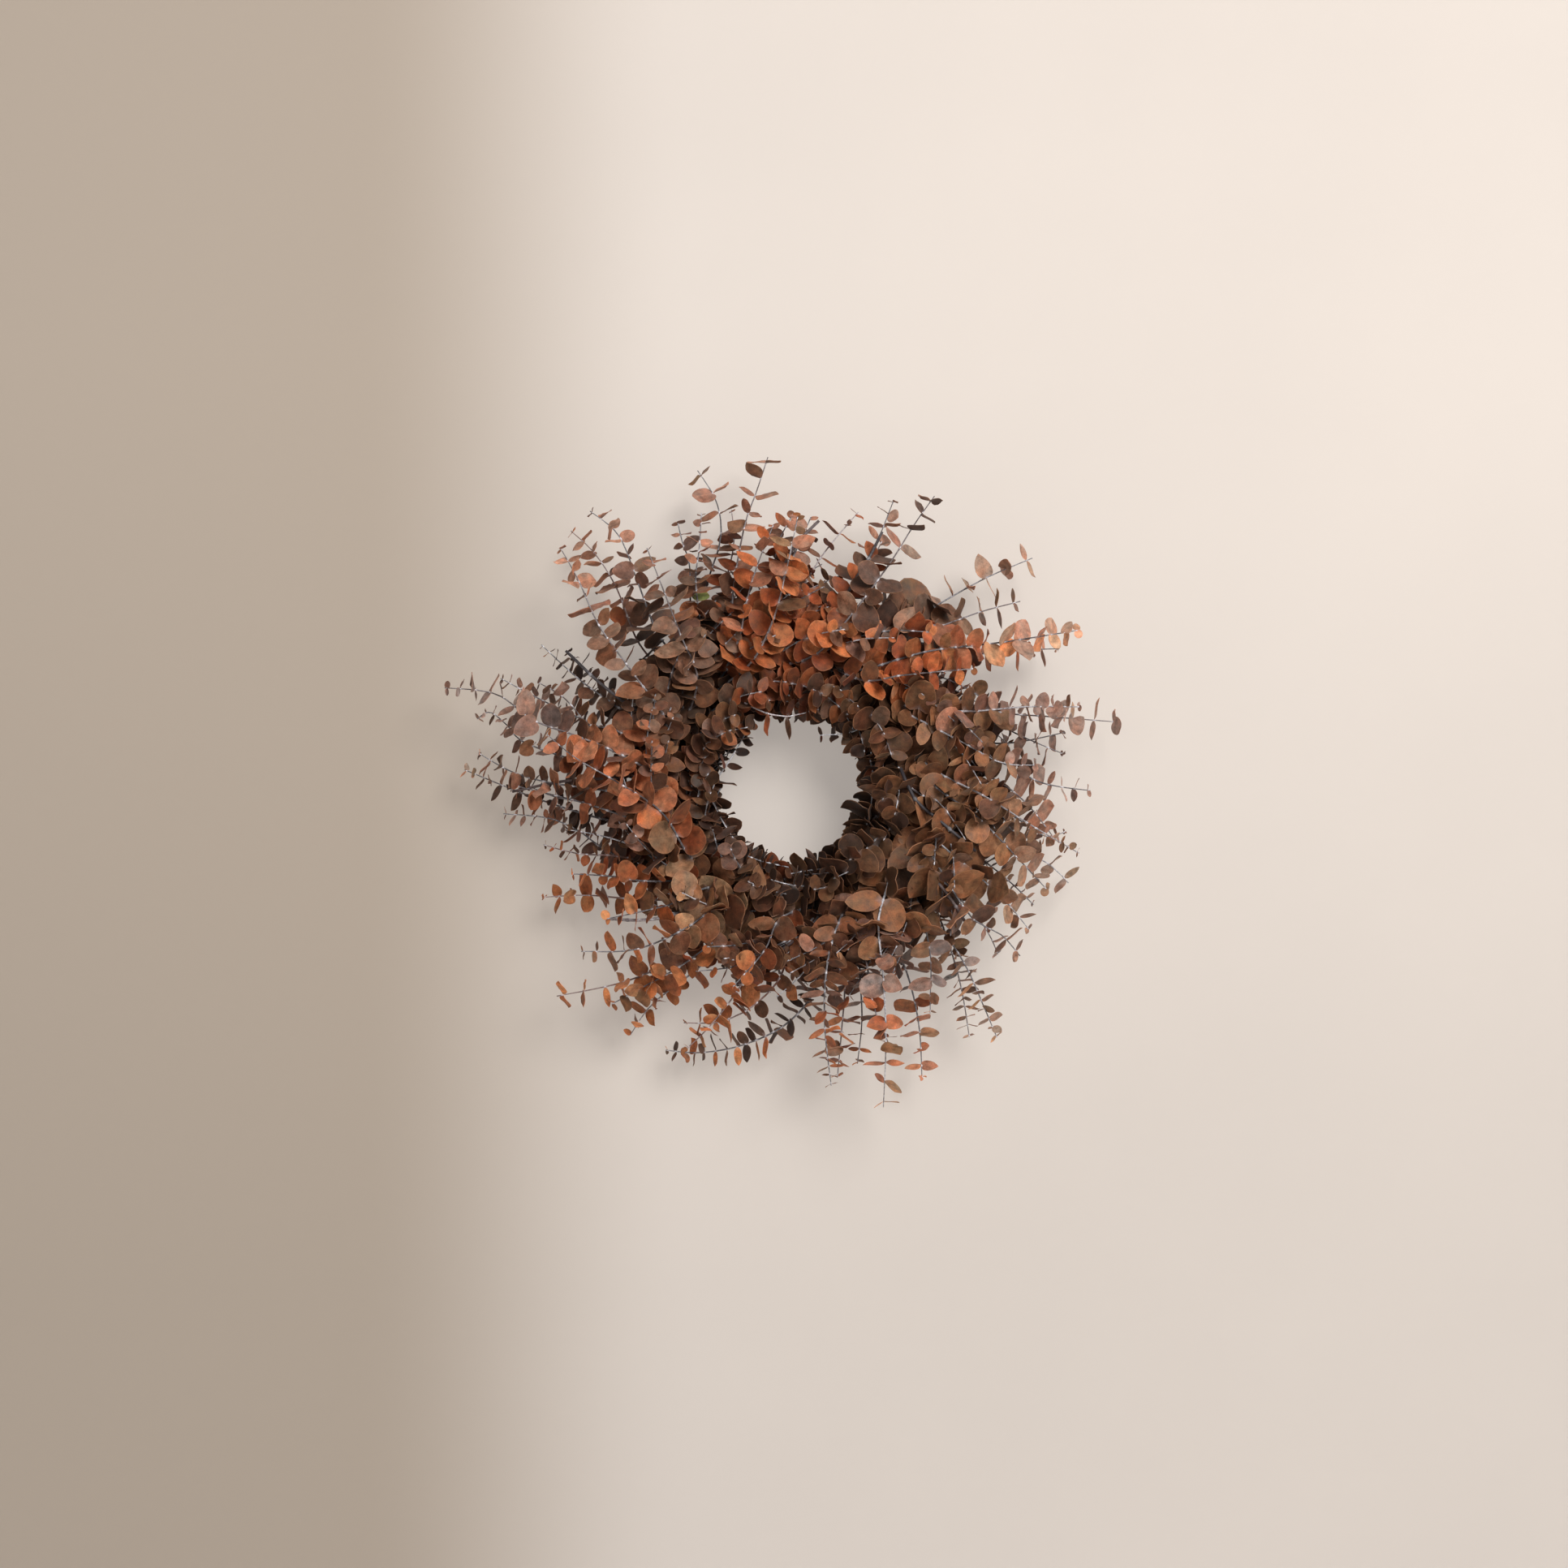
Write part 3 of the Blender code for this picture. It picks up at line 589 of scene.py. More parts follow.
def hangingLoop():
    # round the eye, down its neck, once round the vine and up again
    half = eye["width"] / 2 + eye["radius"]
    knots = []
    for angle in range(-60, 241, 12):
        turn = math.radians(angle)
        knots.append(Vector((half * math.cos(turn), 0, eye["radius"] - half + half * math.sin(turn))) * mm)
    knots.append(Vector((-eye["side"], eye["neckBack"], eye["neckDrop"])) * mm)
    for angle in range(60, 361, 15):
        share = (angle - 60) / 300
        turn = math.radians(angle)
        middle = at(eye["side"] * (2 * share - 1), vine["ring"], 0)
        knots.append(middle + eye["round"] * mm * Vector((0, math.sin(turn), math.cos(turn))))
    knots.append(Vector((eye["side"], eye["neckBack"], eye["neckDrop"])) * mm)
    made = tube("hangingLoop", knots, [eye["radius"] * mm] * len(knots), [dullWire], closed=True, sides=8)
    dress(made, "hanging_eye")


bindingWire()
hangingLoop()
print("wire and eye made")


# the stems leave the vine in four rows, in degrees from outwards over the front to inwards
rows = {"outer": 12.0, "upper": 52.0, "front": 94.0, "rim": 138.0}
longRows = ("outer", "upper", "front")

# each bunch has three long sprays, one in each of the long rows: tone, style of the tip, and the way that
# the stem takes up to its tip, in mm from the middle of the hole
longSprays = [
    ("brown", "open", [(62, 132, 12), (117, 156, 18), (175, 188, 20), (221, 208, 16)]),
    ("umber", "open", [(64, 122, 24), (127, 142, 34), (172, 158, 36), (209, 168, 32)]),
    ("rust", "round", [(66, 106, 45), (125, 122, 61), (192, 130, 66), (260, 141, 57)]),
    ("rust", "mid", [(112, 108, 10), (160, 119, 14), (205, 124, 16), (246, 126, 12)]),
    ("mauve", "open", [(112, 90, 26), (150, 80, 32), (188, 68, 32), (235, 64, 28), (300, 59, 20)]),
    ("brown", "mid", [(112, 72, 50), (160, 68, 68), (212, 72, 71), (262, 72, 64)]),
    ("mauve", "mid", [(142, 44, 10), (198, 40, 12), (251, 50, 10)]),
    ("khaki", "mid", [(138, 34, 26), (188, 24, 32), (229, 4, 32), (273, -3, 24)]),
    ("khaki", "fine", [(130, 16, 52), (175, -8, 68), (220, -36, 71), (260, -59, 61)]),
    ("khaki", "open", [(146, -20, 10), (192, -48, 14), (235, -69, 14), (254, -87, 12)]),
    ("brown", "fine", [(132, -32, 26), (168, -60, 34), (198, -84, 36), (221, -106, 32)]),
    ("brown", "open", [(118, -40, 50), (138, -78, 66), (164, -117, 71), (190, -132, 68), (207, -151, 61)]),
    ("brown", "comb", [(124, -88, 10), (142, -132, 14), (156, -180, 16), (164, -227, 12)]),
    ("khaki", "comb", [(112, -94, 28), (138, -128, 36), (160, -162, 38), (176, -198, 36), (188, -226, 30)]),
    ("khaki", "open", [(90, -84, 52), (80, -120, 66), (84, -165, 68), (87, -225, 59), (85, -288, 45)]),
    ("rust", "mid", [(84, -124, 10), (106, -165, 14), (118, -215, 14), (121, -265, 12)]),
    ("rust", "mid", [(64, -128, 26), (64, -165, 33), (66, -210, 33), (62, -250, 26)]),
    ("brown", "comb", [(46, -118, 52), (34, -160, 68), (32, -212, 66), (38, -268, 50)]),
    ("umber", "comb", [(26, -144, 9), (22, -186, 13), (-4, -216, 15), (-42, -234, 15), (-80, -241, 13),
        (-112, -239, 10)]),
    ("rust", "mid", [(2, -136, 27), (-8, -172, 34), (-36, -200, 36), (-65, -212, 33), (-95, -213, 28)]),
    ("rust", "round", [(-8, -118, 52), (-22, -146, 68), (-50, -178, 73)]),
    ("rust", "round", [(-56, -142, 10), (-92, -172, 14), (-125, -198, 14), (-144, -225, 11)]),
    ("rust", "open", [(-64, -126, 28), (-104, -156, 35), (-150, -176, 34), (-210, -189, 26)]),
    ("brown", "mid", [(-60, -106, 53), (-96, -128, 70), (-138, -145, 71), (-186, -147, 61)]),
    ("rust", "round", [(-108, -102, 10), (-146, -101, 14), (-185, -98, 14), (-224, -100, 11)]),
    ("mauve", "mid", [(-108, -76, 28), (-134, -56, 35), (-168, -44, 36), (-202, -38, 30)]),
    ("rust", "round", [(-92, -58, 52), (-114, -22, 68), (-152, 4, 76), (-190, 26, 76), (-216, 47, 68)]),
    ("umber", "comb", [(-138, -36, 9), (-180, -26, 13), (-235, -8, 14), (-295, 16, 10)]),
    ("brown", "mid", [(-128, -12, 27), (-172, -2, 35), (-215, 4, 36), (-250, 14, 33), (-281, 31, 26)]),
    ("mauve", "mid", [(-118, 6, 52), (-148, 28, 64), (-190, 46, 59), (-229, 60, 52), (-264, 84, 42),
        (-311, 90, 31)]),
    ("brown", "comb", [(-140, 38, 9), (-180, 58, 13), (-222, 78, 14), (-262, 99, 10)]),
    ("umber", "fine", [(-126, 50, 27), (-160, 76, 34), (-190, 98, 34), (-224, 129, 28)]),
    ("brown", "mid", [(-110, 58, 52), (-138, 100, 66), (-170, 145, 64), (-188, 184, 54), (-206, 216, 42)]),
    ("rust", "mid", [(-112, 96, 10), (-138, 134, 14), (-156, 180, 15), (-176, 212, 13), (-198, 233, 10)]),
    ("mauve", "mid", [(-98, 104, 28), (-120, 142, 36), (-138, 190, 37), (-154, 228, 33), (-180, 250, 26)]),
    ("mauve", "mid", [(-82, 96, 53), (-96, 134, 70), (-112, 176, 73), (-127, 214, 66)]),
    ("brown", "open", [(-72, 130, 10), (-76, 176, 14), (-62, 225, 15), (-66, 260, 12), (-83, 288, 9)]),
    ("brown", "open", [(-54, 130, 28), (-50, 180, 36), (-40, 236, 35), (-29, 268, 30), (-19, 299, 23)]),
    ("khaki", "round", [(-34, 112, 53), (-14, 150, 71), (-2, 195, 76), (8, 242, 68)]),
    ("rust", "mid", [(-6, 140, 10), (8, 172, 15), (30, 210, 16), (63, 250, 12)]),
    ("brown", "mid", [(14, 134, 28), (46, 170, 36), (74, 210, 36), (95, 260, 28)]),
    ("umber", "open", [(22, 118, 52), (54, 152, 68), (90, 200, 66), (112, 235, 57), (131, 262, 45)]),
]

# and each has a short one along the rim of the hole: tone, degrees swept, reach and lift of the tip
rimSprays = [
    ("rust", 56, 80, 46), ("rust", 50, 84, 52), ("khaki", 58, 78, 44), ("khaki", 52, 84, 50),
    ("khaki", 54, 80, 46), ("rust", 58, 76, 42), ("brown", 52, 84, 50), ("brown", 56, 76, 44),
    ("brown", 54, 80, 48), ("mauve", 52, 84, 50), ("umber", 60, 72, 42), ("brown", 52, 80, 50),
    ("mauve", 56, 76, 44), ("rust", 52, 84, 52),
]

spray = {"bound": 8.0, "stemRoot": 1.35, "stemTip": 0.46, "perSpan": 8, "seat": 0.3,
         "rimStart": 100, "rimLift": 10}


def boundEnd(bunch, row):
    # the end of a stem, which lies on the vine under the wire
    start = bunchStart(bunch)
    away = vine["outside"] + spray["seat"] + spray["stemRoot"]
    return [roundTheVine(start + share * spray["bound"], rows[row], away) for share in (0, 1)]


def rimWay(bunch, swept, reach, lift):
    way = []
    for share in (0.3, 0.62, 1.0):
        turn = math.radians(bunchStart(bunch) + spray["bound"] + swept * share)
        away = spray["rimStart"] + (reach - spray["rimStart"]) * share
        up = spray["rimLift"] + (lift - spray["rimLift"]) * share ** 0.8
        way.append(at(away * math.sin(turn), away * math.cos(turn), up))
    return way


takenLeaves = {}
cellSize = 24 * mm


def cellOf(place):
    return tuple(int(math.floor(value / cellSize)) for value in place)


def neighbours(place):
    x, y, z = cellOf(place)
    for i in (-1, 0, 1):
        for j in (-1, 0, 1):
            for k in (-1, 0, 1):
                yield from takenLeaves.get((x + i, y + j, z + k), ())


# cuts are in metres: at most free counts as none, good is kept, and past worst there is no leaf
crowd = {"reach": 0.95, "parallel": 0.2, "flush": 0.8 * mm, "flushCut": 2 * mm,
         "free": 0.4 * mm, "good": 2.5 * mm, "worst": 12 * mm}


def crowding(middle, facing, radius, pair):
    # how deep a round leaf here would cut through the ones already there
    cut = 0.0
    for otherMiddle, otherFacing, otherRadius, otherPair in neighbours(middle):
        if otherPair == pair:
            continue
        gap = otherMiddle - middle
        apart = gap.length
        if apart > (radius + otherRadius) * crowd["reach"]:
            continue
        across = facing.cross(otherFacing).length
        first = radius * across - abs(gap.dot(otherFacing))
        second = otherRadius * across - abs(gap.dot(facing))
        if first > 0 and second > 0:
            cut += min(first, second, radius + otherRadius - apart)
        elif across < crowd["parallel"] and abs(gap.dot(facing)) < crowd["flush"]:
            cut += crowd["flushCut"]
    return cut


# the rim of the hole: mean reach, how much nearer above and below, lobes and smaller teeth in mm
rimShape = {"reach": 59.5, "flat": 2.0, "lobes": 5.0, "lobeScale": 3.0, "teeth": 4.0, "toothScale": 9.0}


def holeReach(flat):
    turn = math.atan2(flat.z, flat.x)
    rim = Vector((math.cos(turn), math.sin(turn), 0))
    lobes = rimShape["lobes"] * noise.noise(rim * rimShape["lobeScale"])
    teeth = rimShape["teeth"] * noise.noise(rim * rimShape["toothScale"])
    return (rimShape["reach"] + rimShape["flat"] * math.cos(2 * turn) + lobes + teeth) * mm


# how a leaf stands: turning is how far from the tip the leaves begin to turn to the viewer, and over what
# length they do, in metres; the second of each pair of shares comes in with that turn
pose = {"turning": (0.025, 0.075), "jitter": 9, "tilt": 0.42, "flatter": 0.62, "lean": 84, "lessLean": 20,
        "toViewer": (0.42, 0.62), "toTip": (0.9, 0.55), "belly": 0.45, "middle": 0.52, "radius": 0.46,
        "sizes": (1, 0.82, 0.64), "leastLength": 0.05}
# other stands that are tried where the leaf would cut into one that is there: swing and bend in degrees
swings = ((0, 0), (16, 0), (-16, 0), (0, 16), (0, -18), (32, 8), (-32, 8), (50, 0), (-50, 0))


def outside(foot, along, side, length, mayEnter):
    # True where the leaf would leave the CAD model's box, meet the wall or shut the hole
    belly = foot + along * length * 0.5
    wide = length * pose["belly"]
    for place in (foot + along * length, belly + side * wide, belly - side * wide):
        for value, low, high in zip(place, lowest, highest):
            if not low < value < high:
                return True
        flat = place - hole
        if not mayEnter and math.hypot(flat.x, flat.z) < holeReach(flat):
            return True
    return False


def placeLeaf(foot, ahead, turn, back, length, habit, pair, rng):
    cover = max(rise(back, *pose["turning"]) * habit["cover"], habit["tipCover"])
    flat = ahead.cross(front)
    flat = flat.normalized() if flat.length > pose["leastLength"] else Vector((1, 0, 0))
    toward = flat.cross(ahead).normalized()
    best = None
    leanJitter = rng.uniform(-pose["jitter"], pose["jitter"])
    tilt = Vector((rng.gauss(0, 1), rng.gauss(0, 1), rng.gauss(0, 1))) * pose["tilt"]
    wish = (front * (pose["toViewer"][0] + pose["toViewer"][1] * cover)
            + ahead * (pose["toTip"][0] - pose["toTip"][1] * cover) + tilt)
    for size in pose["sizes"]:
        reach = length * size
        for swing, bend in swings:
            around = math.radians(turn + swing)
            out = flat * math.cos(around) + toward * math.sin(around) * (1 - pose["flatter"] * cover)
            out.normalize()
            lean = math.radians(pose["lean"] - pose["lessLean"] * cover + leanJitter + bend)
            along = (out * math.sin(lean) + ahead * math.cos(lean)).normalized()
            facing = wish - along * wish.dot(along)
            if facing.length < pose["leastLength"]:
                continue
            facing.normalize()
            side = facing.cross(along).normalized()
            if outside(foot, along, side, reach, habit["mayEnter"]):
                continue
            middle = foot + along * reach * pose["middle"]
            cut = crowding(middle, facing, reach * pose["radius"], pair)
            if best is None or cut < best[0]:
                best = (cut, along, side, facing, reach, middle)
            if cut < crowd["free"]:
                break
        if best and best[0] < crowd["good"]:
            break
    if best is None or best[0] > crowd["worst"]:
        return None
    return best[1:]


# bulges at the pairs of leaves, sections between them, and bark; some stems are waxy all along
stem = {
    "swellReach": 2.2 * mm, "swelling": 0.38, "step": 14 * mm, "clear": 5 * mm, "least": 0.7 * mm,
    "bark": [(0.036, 0.024, 0.026), (0.070, 0.038, 0.033), (0.028, 0.022, 0.027)],
    "rustBark": (0.18, 0.075, 0.05), "rustShare": 0.5,
    "waxyShare": 0.20, "waxy": (0.35, 0.85), "bare": (0.0, 0.14),
    "bloom": (0.8, 2.0), "bloomReach": 2.8 * mm,
}


def stemObject(name, way, sums, nodesAt, tone, rng, root, tip):
    # the stem, with a swelling that carries the pale bloom at each pair of leaves
    stops = {0.0, sums[-1]}
    swell = {}
    for place in nodesAt:
        for offset, bulge in ((-stem["swellReach"], 0), (0, 1), (stem["swellReach"], 0)):
            stop = min(max(place + offset, 0), sums[-1])
            stops.add(stop)
            swell[stop] = max(swell.get(stop, 0), bulge)
    for i in range(1, int(sums[-1] / stem["step"])):
        if all(abs(i * stem["step"] - place) > stem["clear"] for place in nodesAt):
            stops.add(i * stem["step"])
    kept = [0.0]
    for stop in sorted(stops):
        if stop - kept[-1] > stem["least"]:
            kept.append(stop)
    points = [onWay(way, sums, stop)[0] for stop in kept]
    radii = []
    for stop in kept:
        radius = root + (tip - root) * stop / sums[-1]
        radii.append(radius * mm * (1 + stem["swelling"] * swell.get(stop, 0)))
    made = tube(name, points, radii, [stemBark, leafSkin])
    base = rng.choice(stem["bark"])
    if tone == "rust" and rng.random() < stem["rustShare"]:
        base = stem["rustBark"]
    waxy = rng.uniform(*stem["waxy"]) if rng.random() < stem["waxyShare"] else rng.uniform(*stem["bare"])
    marks = [(onWay(way, sums, place)[0], rng.uniform(*stem["bloom"])) for place in nodesAt]
    colours = []
    for vert in made.data.vertices:
        near, bloom = min((((vert.co - mark).length, bloom) for mark, bloom in marks), default=(1, 0))
        colours.extend((*base, max(waxy, bloom * (1 - near / stem["bloomReach"]))))
    paint(made.data, colours)
    return made


# shares of the kinds of leaf, added up, and the share of the narrowest kind among the slender leaves
kindShares = (("disc", 0.34), ("heart", 0.64), ("curled", 0.75), ("folded", 0.85), ("oval", 1.0))
lanceShare = 0.55


def kindFor(back, habit, rng):
    drawn = rng.random()
    if back < habit["slenderTo"] and rng.random() < habit["slender"]:
        return "lance" if drawn < lanceShare else "oval"
    return next(kind for kind, share in kindShares if drawn < share)


# sizes in metres, turns in degrees; the pairs of leaves cross each other
growth = {"tipGap": 2 * mm, "spacingMost": 14 * mm, "spacingSpread": (0.85, 1.15),
          "anyTurn": (0, 90), "slantedTurn": (30, 60), "slantedFrom": 0.5,
          "turn": 90, "turnSpread": (-12, 12), "sideSpread": (-9, 9), "sizes": (0.78, 1.16),
          "widths": (0.90, 1.08), "missing": 0.03, "turnedOver": 0.35, "cups": (0.6, 1.9)}

# where the leaves are larger: right, up, reach in mm, how much larger
largePlaces = [(84, -90, 40, 1.35), (100, -30, 36, 1.3), (-105, -52, 22, 1.35), (112, 160, 34, 1.6),
               (-112, 128, 36, 1.35), (95, 60, 26, 1.35), (-60, -95, 24, 1.35), (150, -90, 30, 1.35)]
grown = {"leaves": 0}


def leafLength(foot, back, pair, habit):
    length = min(habit["tipLeaf"] + habit["gain"] * back, habit["largest"])
    if pair < len(habit["buds"]):
        length *= habit["buds"][pair]
    right, up = (foot.x - hole.x) / mm, (foot.z - hole.z) / mm
    return length * max((larger for x, z, near, larger in largePlaces
                         if math.hypot(right - x, up - z) < near), default=1)


def growSpray(name, knots, tone, seed, habit):
    rng = random.Random(seed)
    way = smoothWay(knots, spray["perSpan"])
    sums = lengthsAlong(way)
    nodesAt = []
    leaves = []
    back = growth["tipGap"] + habit["cut"]
    turn = rng.uniform(*growth["anyTurn" if habit["cover"] < growth["slantedFrom"] else "slantedTurn"])
    while sums[-1] - back > habit["bare"]:
        foot, ahead = onWay(way, sums, sums[-1] - back)
        key = (name, len(nodesAt))
        length = leafLength(foot, back, len(nodesAt), habit)
        nodesAt.append(sums[-1] - back)
        for side in (0, 180):
            reach = length * rng.uniform(*growth["sizes"])
            sideTurn = turn + side + rng.uniform(*growth["sideSpread"])
            found = placeLeaf(foot, ahead, sideTurn, back, reach, habit, key, rng)
            kind = kindFor(back, habit, rng)
            wide = rng.uniform(*growth["widths"])
            colour = leafColour(foot, tone, rng)
            if not found or rng.random() < growth["missing"]:
                continue
            along, across, facing, reach, middle = found
            takenLeaves.setdefault(cellOf(middle), []).append((middle, facing, reach * pose["radius"], key))
            if isGreen(middle, facing):
                colour = (*greenLeaf["colour"], colour[3])
            if rng.random() < growth["turnedOver"]:
                across, facing = -across, -facing
            facing = facing * rng.uniform(*growth["cups"])
            turned = Matrix((along * reach, across * reach * wide, facing * reach)).transposed().to_4x4()
            mesh = leafMeshes[kind].copy()
            mesh.transform(Matrix.Translation(foot) @ turned)
            paint(mesh, colour * len(mesh.vertices))
            leaves.append(addObject(name + "Leaf", mesh))
        gap = max(min(habit["spacing"] + habit["widening"] * back, growth["spacingMost"]), habit["spacing"])
        back += gap * rng.uniform(*growth["spacingSpread"])
        turn += growth["turn"] + rng.uniform(*growth["turnSpread"])
    made = stemObject(name, way, sums, nodesAt, tone, rng, habit["root"], habit["tip"])
    grown["leaves"] += len(leaves)
    return joinAll([made] + leaves, name)


# how far the leaves turn to the viewer, and the longest leaf in metres
habits = {
    "outer": {"cover": 0.30, "largest": 0.0205},
    "upper": {"cover": 0.60, "largest": 0.0220},
    "front": {"cover": 0.85, "largest": 0.0240},
    "rim": {"cover": 0.80, "largest": 0.0235},
}

# leaves at the tip: length, its gain along the stem, room between pairs, share of slender ones, how far they
# turn to the viewer, and the sizes of the first pairs
tipStyles = {
    "mid": {"tipLeaf": 0.0155, "gain": 0.07, "spacing": 0.0125, "slender": 0.45, "buds": (0.5, 0.85)},
    "open": {"tipLeaf": 0.0195, "gain": 0.03, "spacing": 0.0175, "slender": 0.70, "buds": (0.85, 1.0),
             "cut": 0.004},
    "fine": {"tipLeaf": 0.0085, "gain": 0.13, "spacing": 0.0078, "slender": 0.60, "buds": (0.6, 0.9)},
    "comb": {"tipLeaf": 0.0115, "gain": 0.08, "spacing": 0.0086, "slender": 0.90, "buds": (0.6, 0.85),
             "tipCover": 0.30, "slenderTo": 0.14, "widening": 0.008},
    "round": {"tipLeaf": 0.0175, "gain": 0.07, "spacing": 0.0130, "slender": 0.05, "buds": (0.45, 0.8),
              "tipCover": 0.6},
    "rim": {"tipLeaf": 0.0180, "gain": 0.08, "spacing": 0.0110, "slender": 0.10, "buds": (0.8, 1.0),
            "tipCover": 0.6},
}
# bare is the length without leaves at the root, in metres, and root and tip are radii in mm
usualHabit = {"bare": 0.030, "root": spray["stemRoot"], "tip": spray["stemTip"], "mayEnter": False,
              "slenderTo": 0.07, "widening": 0.030, "tipCover": 0.0, "cut": 0.0}


def habitOf(row, style, **changes):
    return {**usualHabit, **habits[row], **tipStyles[style], **changes}


# each spray draws its leaves from a seed of its own
seeds = {"sprays": 100, "more": 300, "fillerWays": 1000, "fillers": 5000, "twigs": 920, "cutStems": 70}

sprays = []
for order, (tone, style, route) in enumerate(longSprays):
    sprays.append((order // 3, longRows[order % 3], tone, style, placesOf(route)))
for bunch, (tone, swept, reach, lift) in enumerate(rimSprays):
    sprays.append((bunch, "rim", tone, "rim", rimWay(bunch, swept, reach, lift)))
for number, (bunch, row, tone, style, route) in enumerate(sprays):
    name = f"{bunch:02d}_{row}"
    knots = boundEnd(bunch, row) + route
    piece = growSpray("foliage_" + name, knots, tone, seeds["sprays"] + number, habitOf(row, style))
    dress(piece, "spray_" + name)
print("sprays grown:", len(sprays), "leaves:", grown["leaves"])


# more stems that the photograph shows between the long ones: bunch, row, tone, style, route
moreSprays = [
    (12, "upper", "brown", "fine", [(-80, 150, 30), (-84, 186, 42), (-81, 214, 38), (-79, 248, 30)]),
    (12, "outer", "mauve", "mid", [(-88, 150, 20), (-90, 201, 22), (-96, 220, 20), (-101, 241, 16)]),
    (13, "upper", "umber", "mid", [(-4, 150, 20), (0, 190, 22), (6, 217, 20), (26, 240, 16)]),
    (10, "upper", "mauve", "fine", [(-180, 20, 30), (-238, 40, 26), (-255, 56, 22), (-271, 68, 18),
        (-283, 62, 14)]),
    (10, "front", "brown", "mid", [(-150, 48, 50), (-179, 56, 50), (-195, 73, 44), (-207, 84, 40),
        (-227, 95, 34)]),
    (10, "outer", "umber", "fine", [(-150, 70, 12), (-176, 99, 16), (-201, 124, 14)]),
    (8, "outer", "mauve", "comb", [(-160, -60, 14), (-190, -40, 20), (-218, -28, 20), (-259, -24, 16)]),
    (2, "upper", "khaki", "round", [(150, 10, 30), (173, -5, 38), (195, -30, 42), (220, -67, 38)]),
    (2, "front", "khaki", "round", [(110, 0, 54), (135, -14, 66), (158, -47, 70)]),
    (4, "front", "khaki", "round", [(118, -110, 50), (127, -150, 56), (127, -185, 54), (127, -203, 50)]),
    (0, "upper", "khaki", "round", [(66, 96, 60), (100, 100, 70), (130, 103, 74), (166, 106, 72)]),
    (12, "outer", "rust", "mid", [(-60, 140, 16), (-58, 180, 20), (-50, 220, 18), (-52, 252, 14)]),
    (13, "outer", "rust", "round", [(-20, 150, 24), (-14, 190, 30), (-10, 220, 28), (4, 248, 22)]),
    (13, "upper", "rust", "round", [(30, 140, 40), (52, 176, 44), (72, 200, 42), (84, 222, 36)]),
    (9, "outer", "brown", "mid", [(-140, -20, 14), (-180, -14, 18), (-214, -8, 18), (-246, 6, 12)]),
    (8, "upper", "rust", "fine", [(-120, -70, 30), (-156, -62, 34), (-190, -60, 32), (-222, -52, 26)]),
    (7, "front", "khaki", "round", [(-70, -90, 56), (-104, -104, 66), (-136, -112, 66), (-164, -118, 60)]),
    (2, "front", "khaki", "round", [(128, 4, 58), (168, -26, 64), (198, -56, 62), (232, -92, 50)]),
    (3, "front", "khaki", "round", [(130, -44, 58), (166, -76, 62), (196, -104, 56), (216, -128, 46)]),
    (2, "upper", "rose", "round", [(140, 24, 30), (184, 8, 36), (214, -14, 34), (240, -46, 28)]),
    (7, "upper", "rust", "round", [(-60, -134, 34), (-96, -160, 42), (-124, -176, 40), (-160, -196, 30)]),
    (8, "front", "rust", "mid", [(-100, -84, 50), (-132, -84, 56), (-158, -80, 52), (-196, -78, 40)]),
    (8, "upper", "mauve", "open", [(-120, -40, 40), (-160, -22, 44), (-200, -10, 40), (-250, 2, 30)]),
    (13, "upper", "rose", "round", [(-16, 140, 44), (-8, 180, 48), (6, 212, 44), (20, 244, 34)]),
    (12, "front", "rose", "round", [(-46, 130, 54), (-38, 166, 62), (-28, 200, 58), (-14, 236, 46)]),
    (6, "upper", "rust", "mid", [(-20, -140, 34), (-44, -180, 40), (-70, -214, 38), (-92, -236, 30)]),
    (5, "upper", "mauve", "mid", [(44, -140, 36), (50, -180, 42), (48, -214, 38), (44, -262, 26)]),
    (5, "front", "brown", "mid", [(60, -120, 56), (70, -160, 62), (76, -196, 60), (92, -236, 48)]),
    (3, "front", "mauve", "mid", [(120, -60, 56), (150, -96, 62), (176, -126, 58), (188, -150, 48)]),
    (2, "outer", "mauve", "fine", [(150, 0, 14), (200, -24, 18), (232, -44, 16), (252, -40, 12)]),
    (1, "outer", "mauve", "mid", [(130, 70, 16), (180, 60, 20), (216, 44, 20), (250, 30, 14)]),
    (1, "front", "khaki", "round", [(118, 60, 56), (156, 40, 66), (190, 22, 66), (222, 20, 56)]),
]

# the thick foliage all round the vine: number of stems, row, style, sweep in degrees, reach and lift in mm
fillers = {
    "face": (50, "front", "round", (28, 50), (140, 188), (50, 82)),
    "shoulder": (36, "upper", "mid", (22, 40), (165, 202), (30, 56)),
    "lip": (40, "rim", "rim", (34, 52), (71, 82), (6, 58)),
    "inner": (24, "rim", "rim", (30, 50), (84, 100), (50, 70)),
    "back": (24, "outer", "mid", (18, 36), (172, 208), (2, 20)),
}
fillerTones = ["umber", "brown", "brown", "khaki", "mauve"]
# their roots, in degrees and mm
fillerRoot = {"turn": 7, "rowSpread": (-14, 14), "away": (2, 2.5), "clockSpread": (-6, 6)}
shorterLeft = 0.19


def denseReach(clock):
    # the thick foliage reaches less far on the left than on the right
    return 1.0 - shorterLeft * max(0, -math.sin(math.radians(clock)))


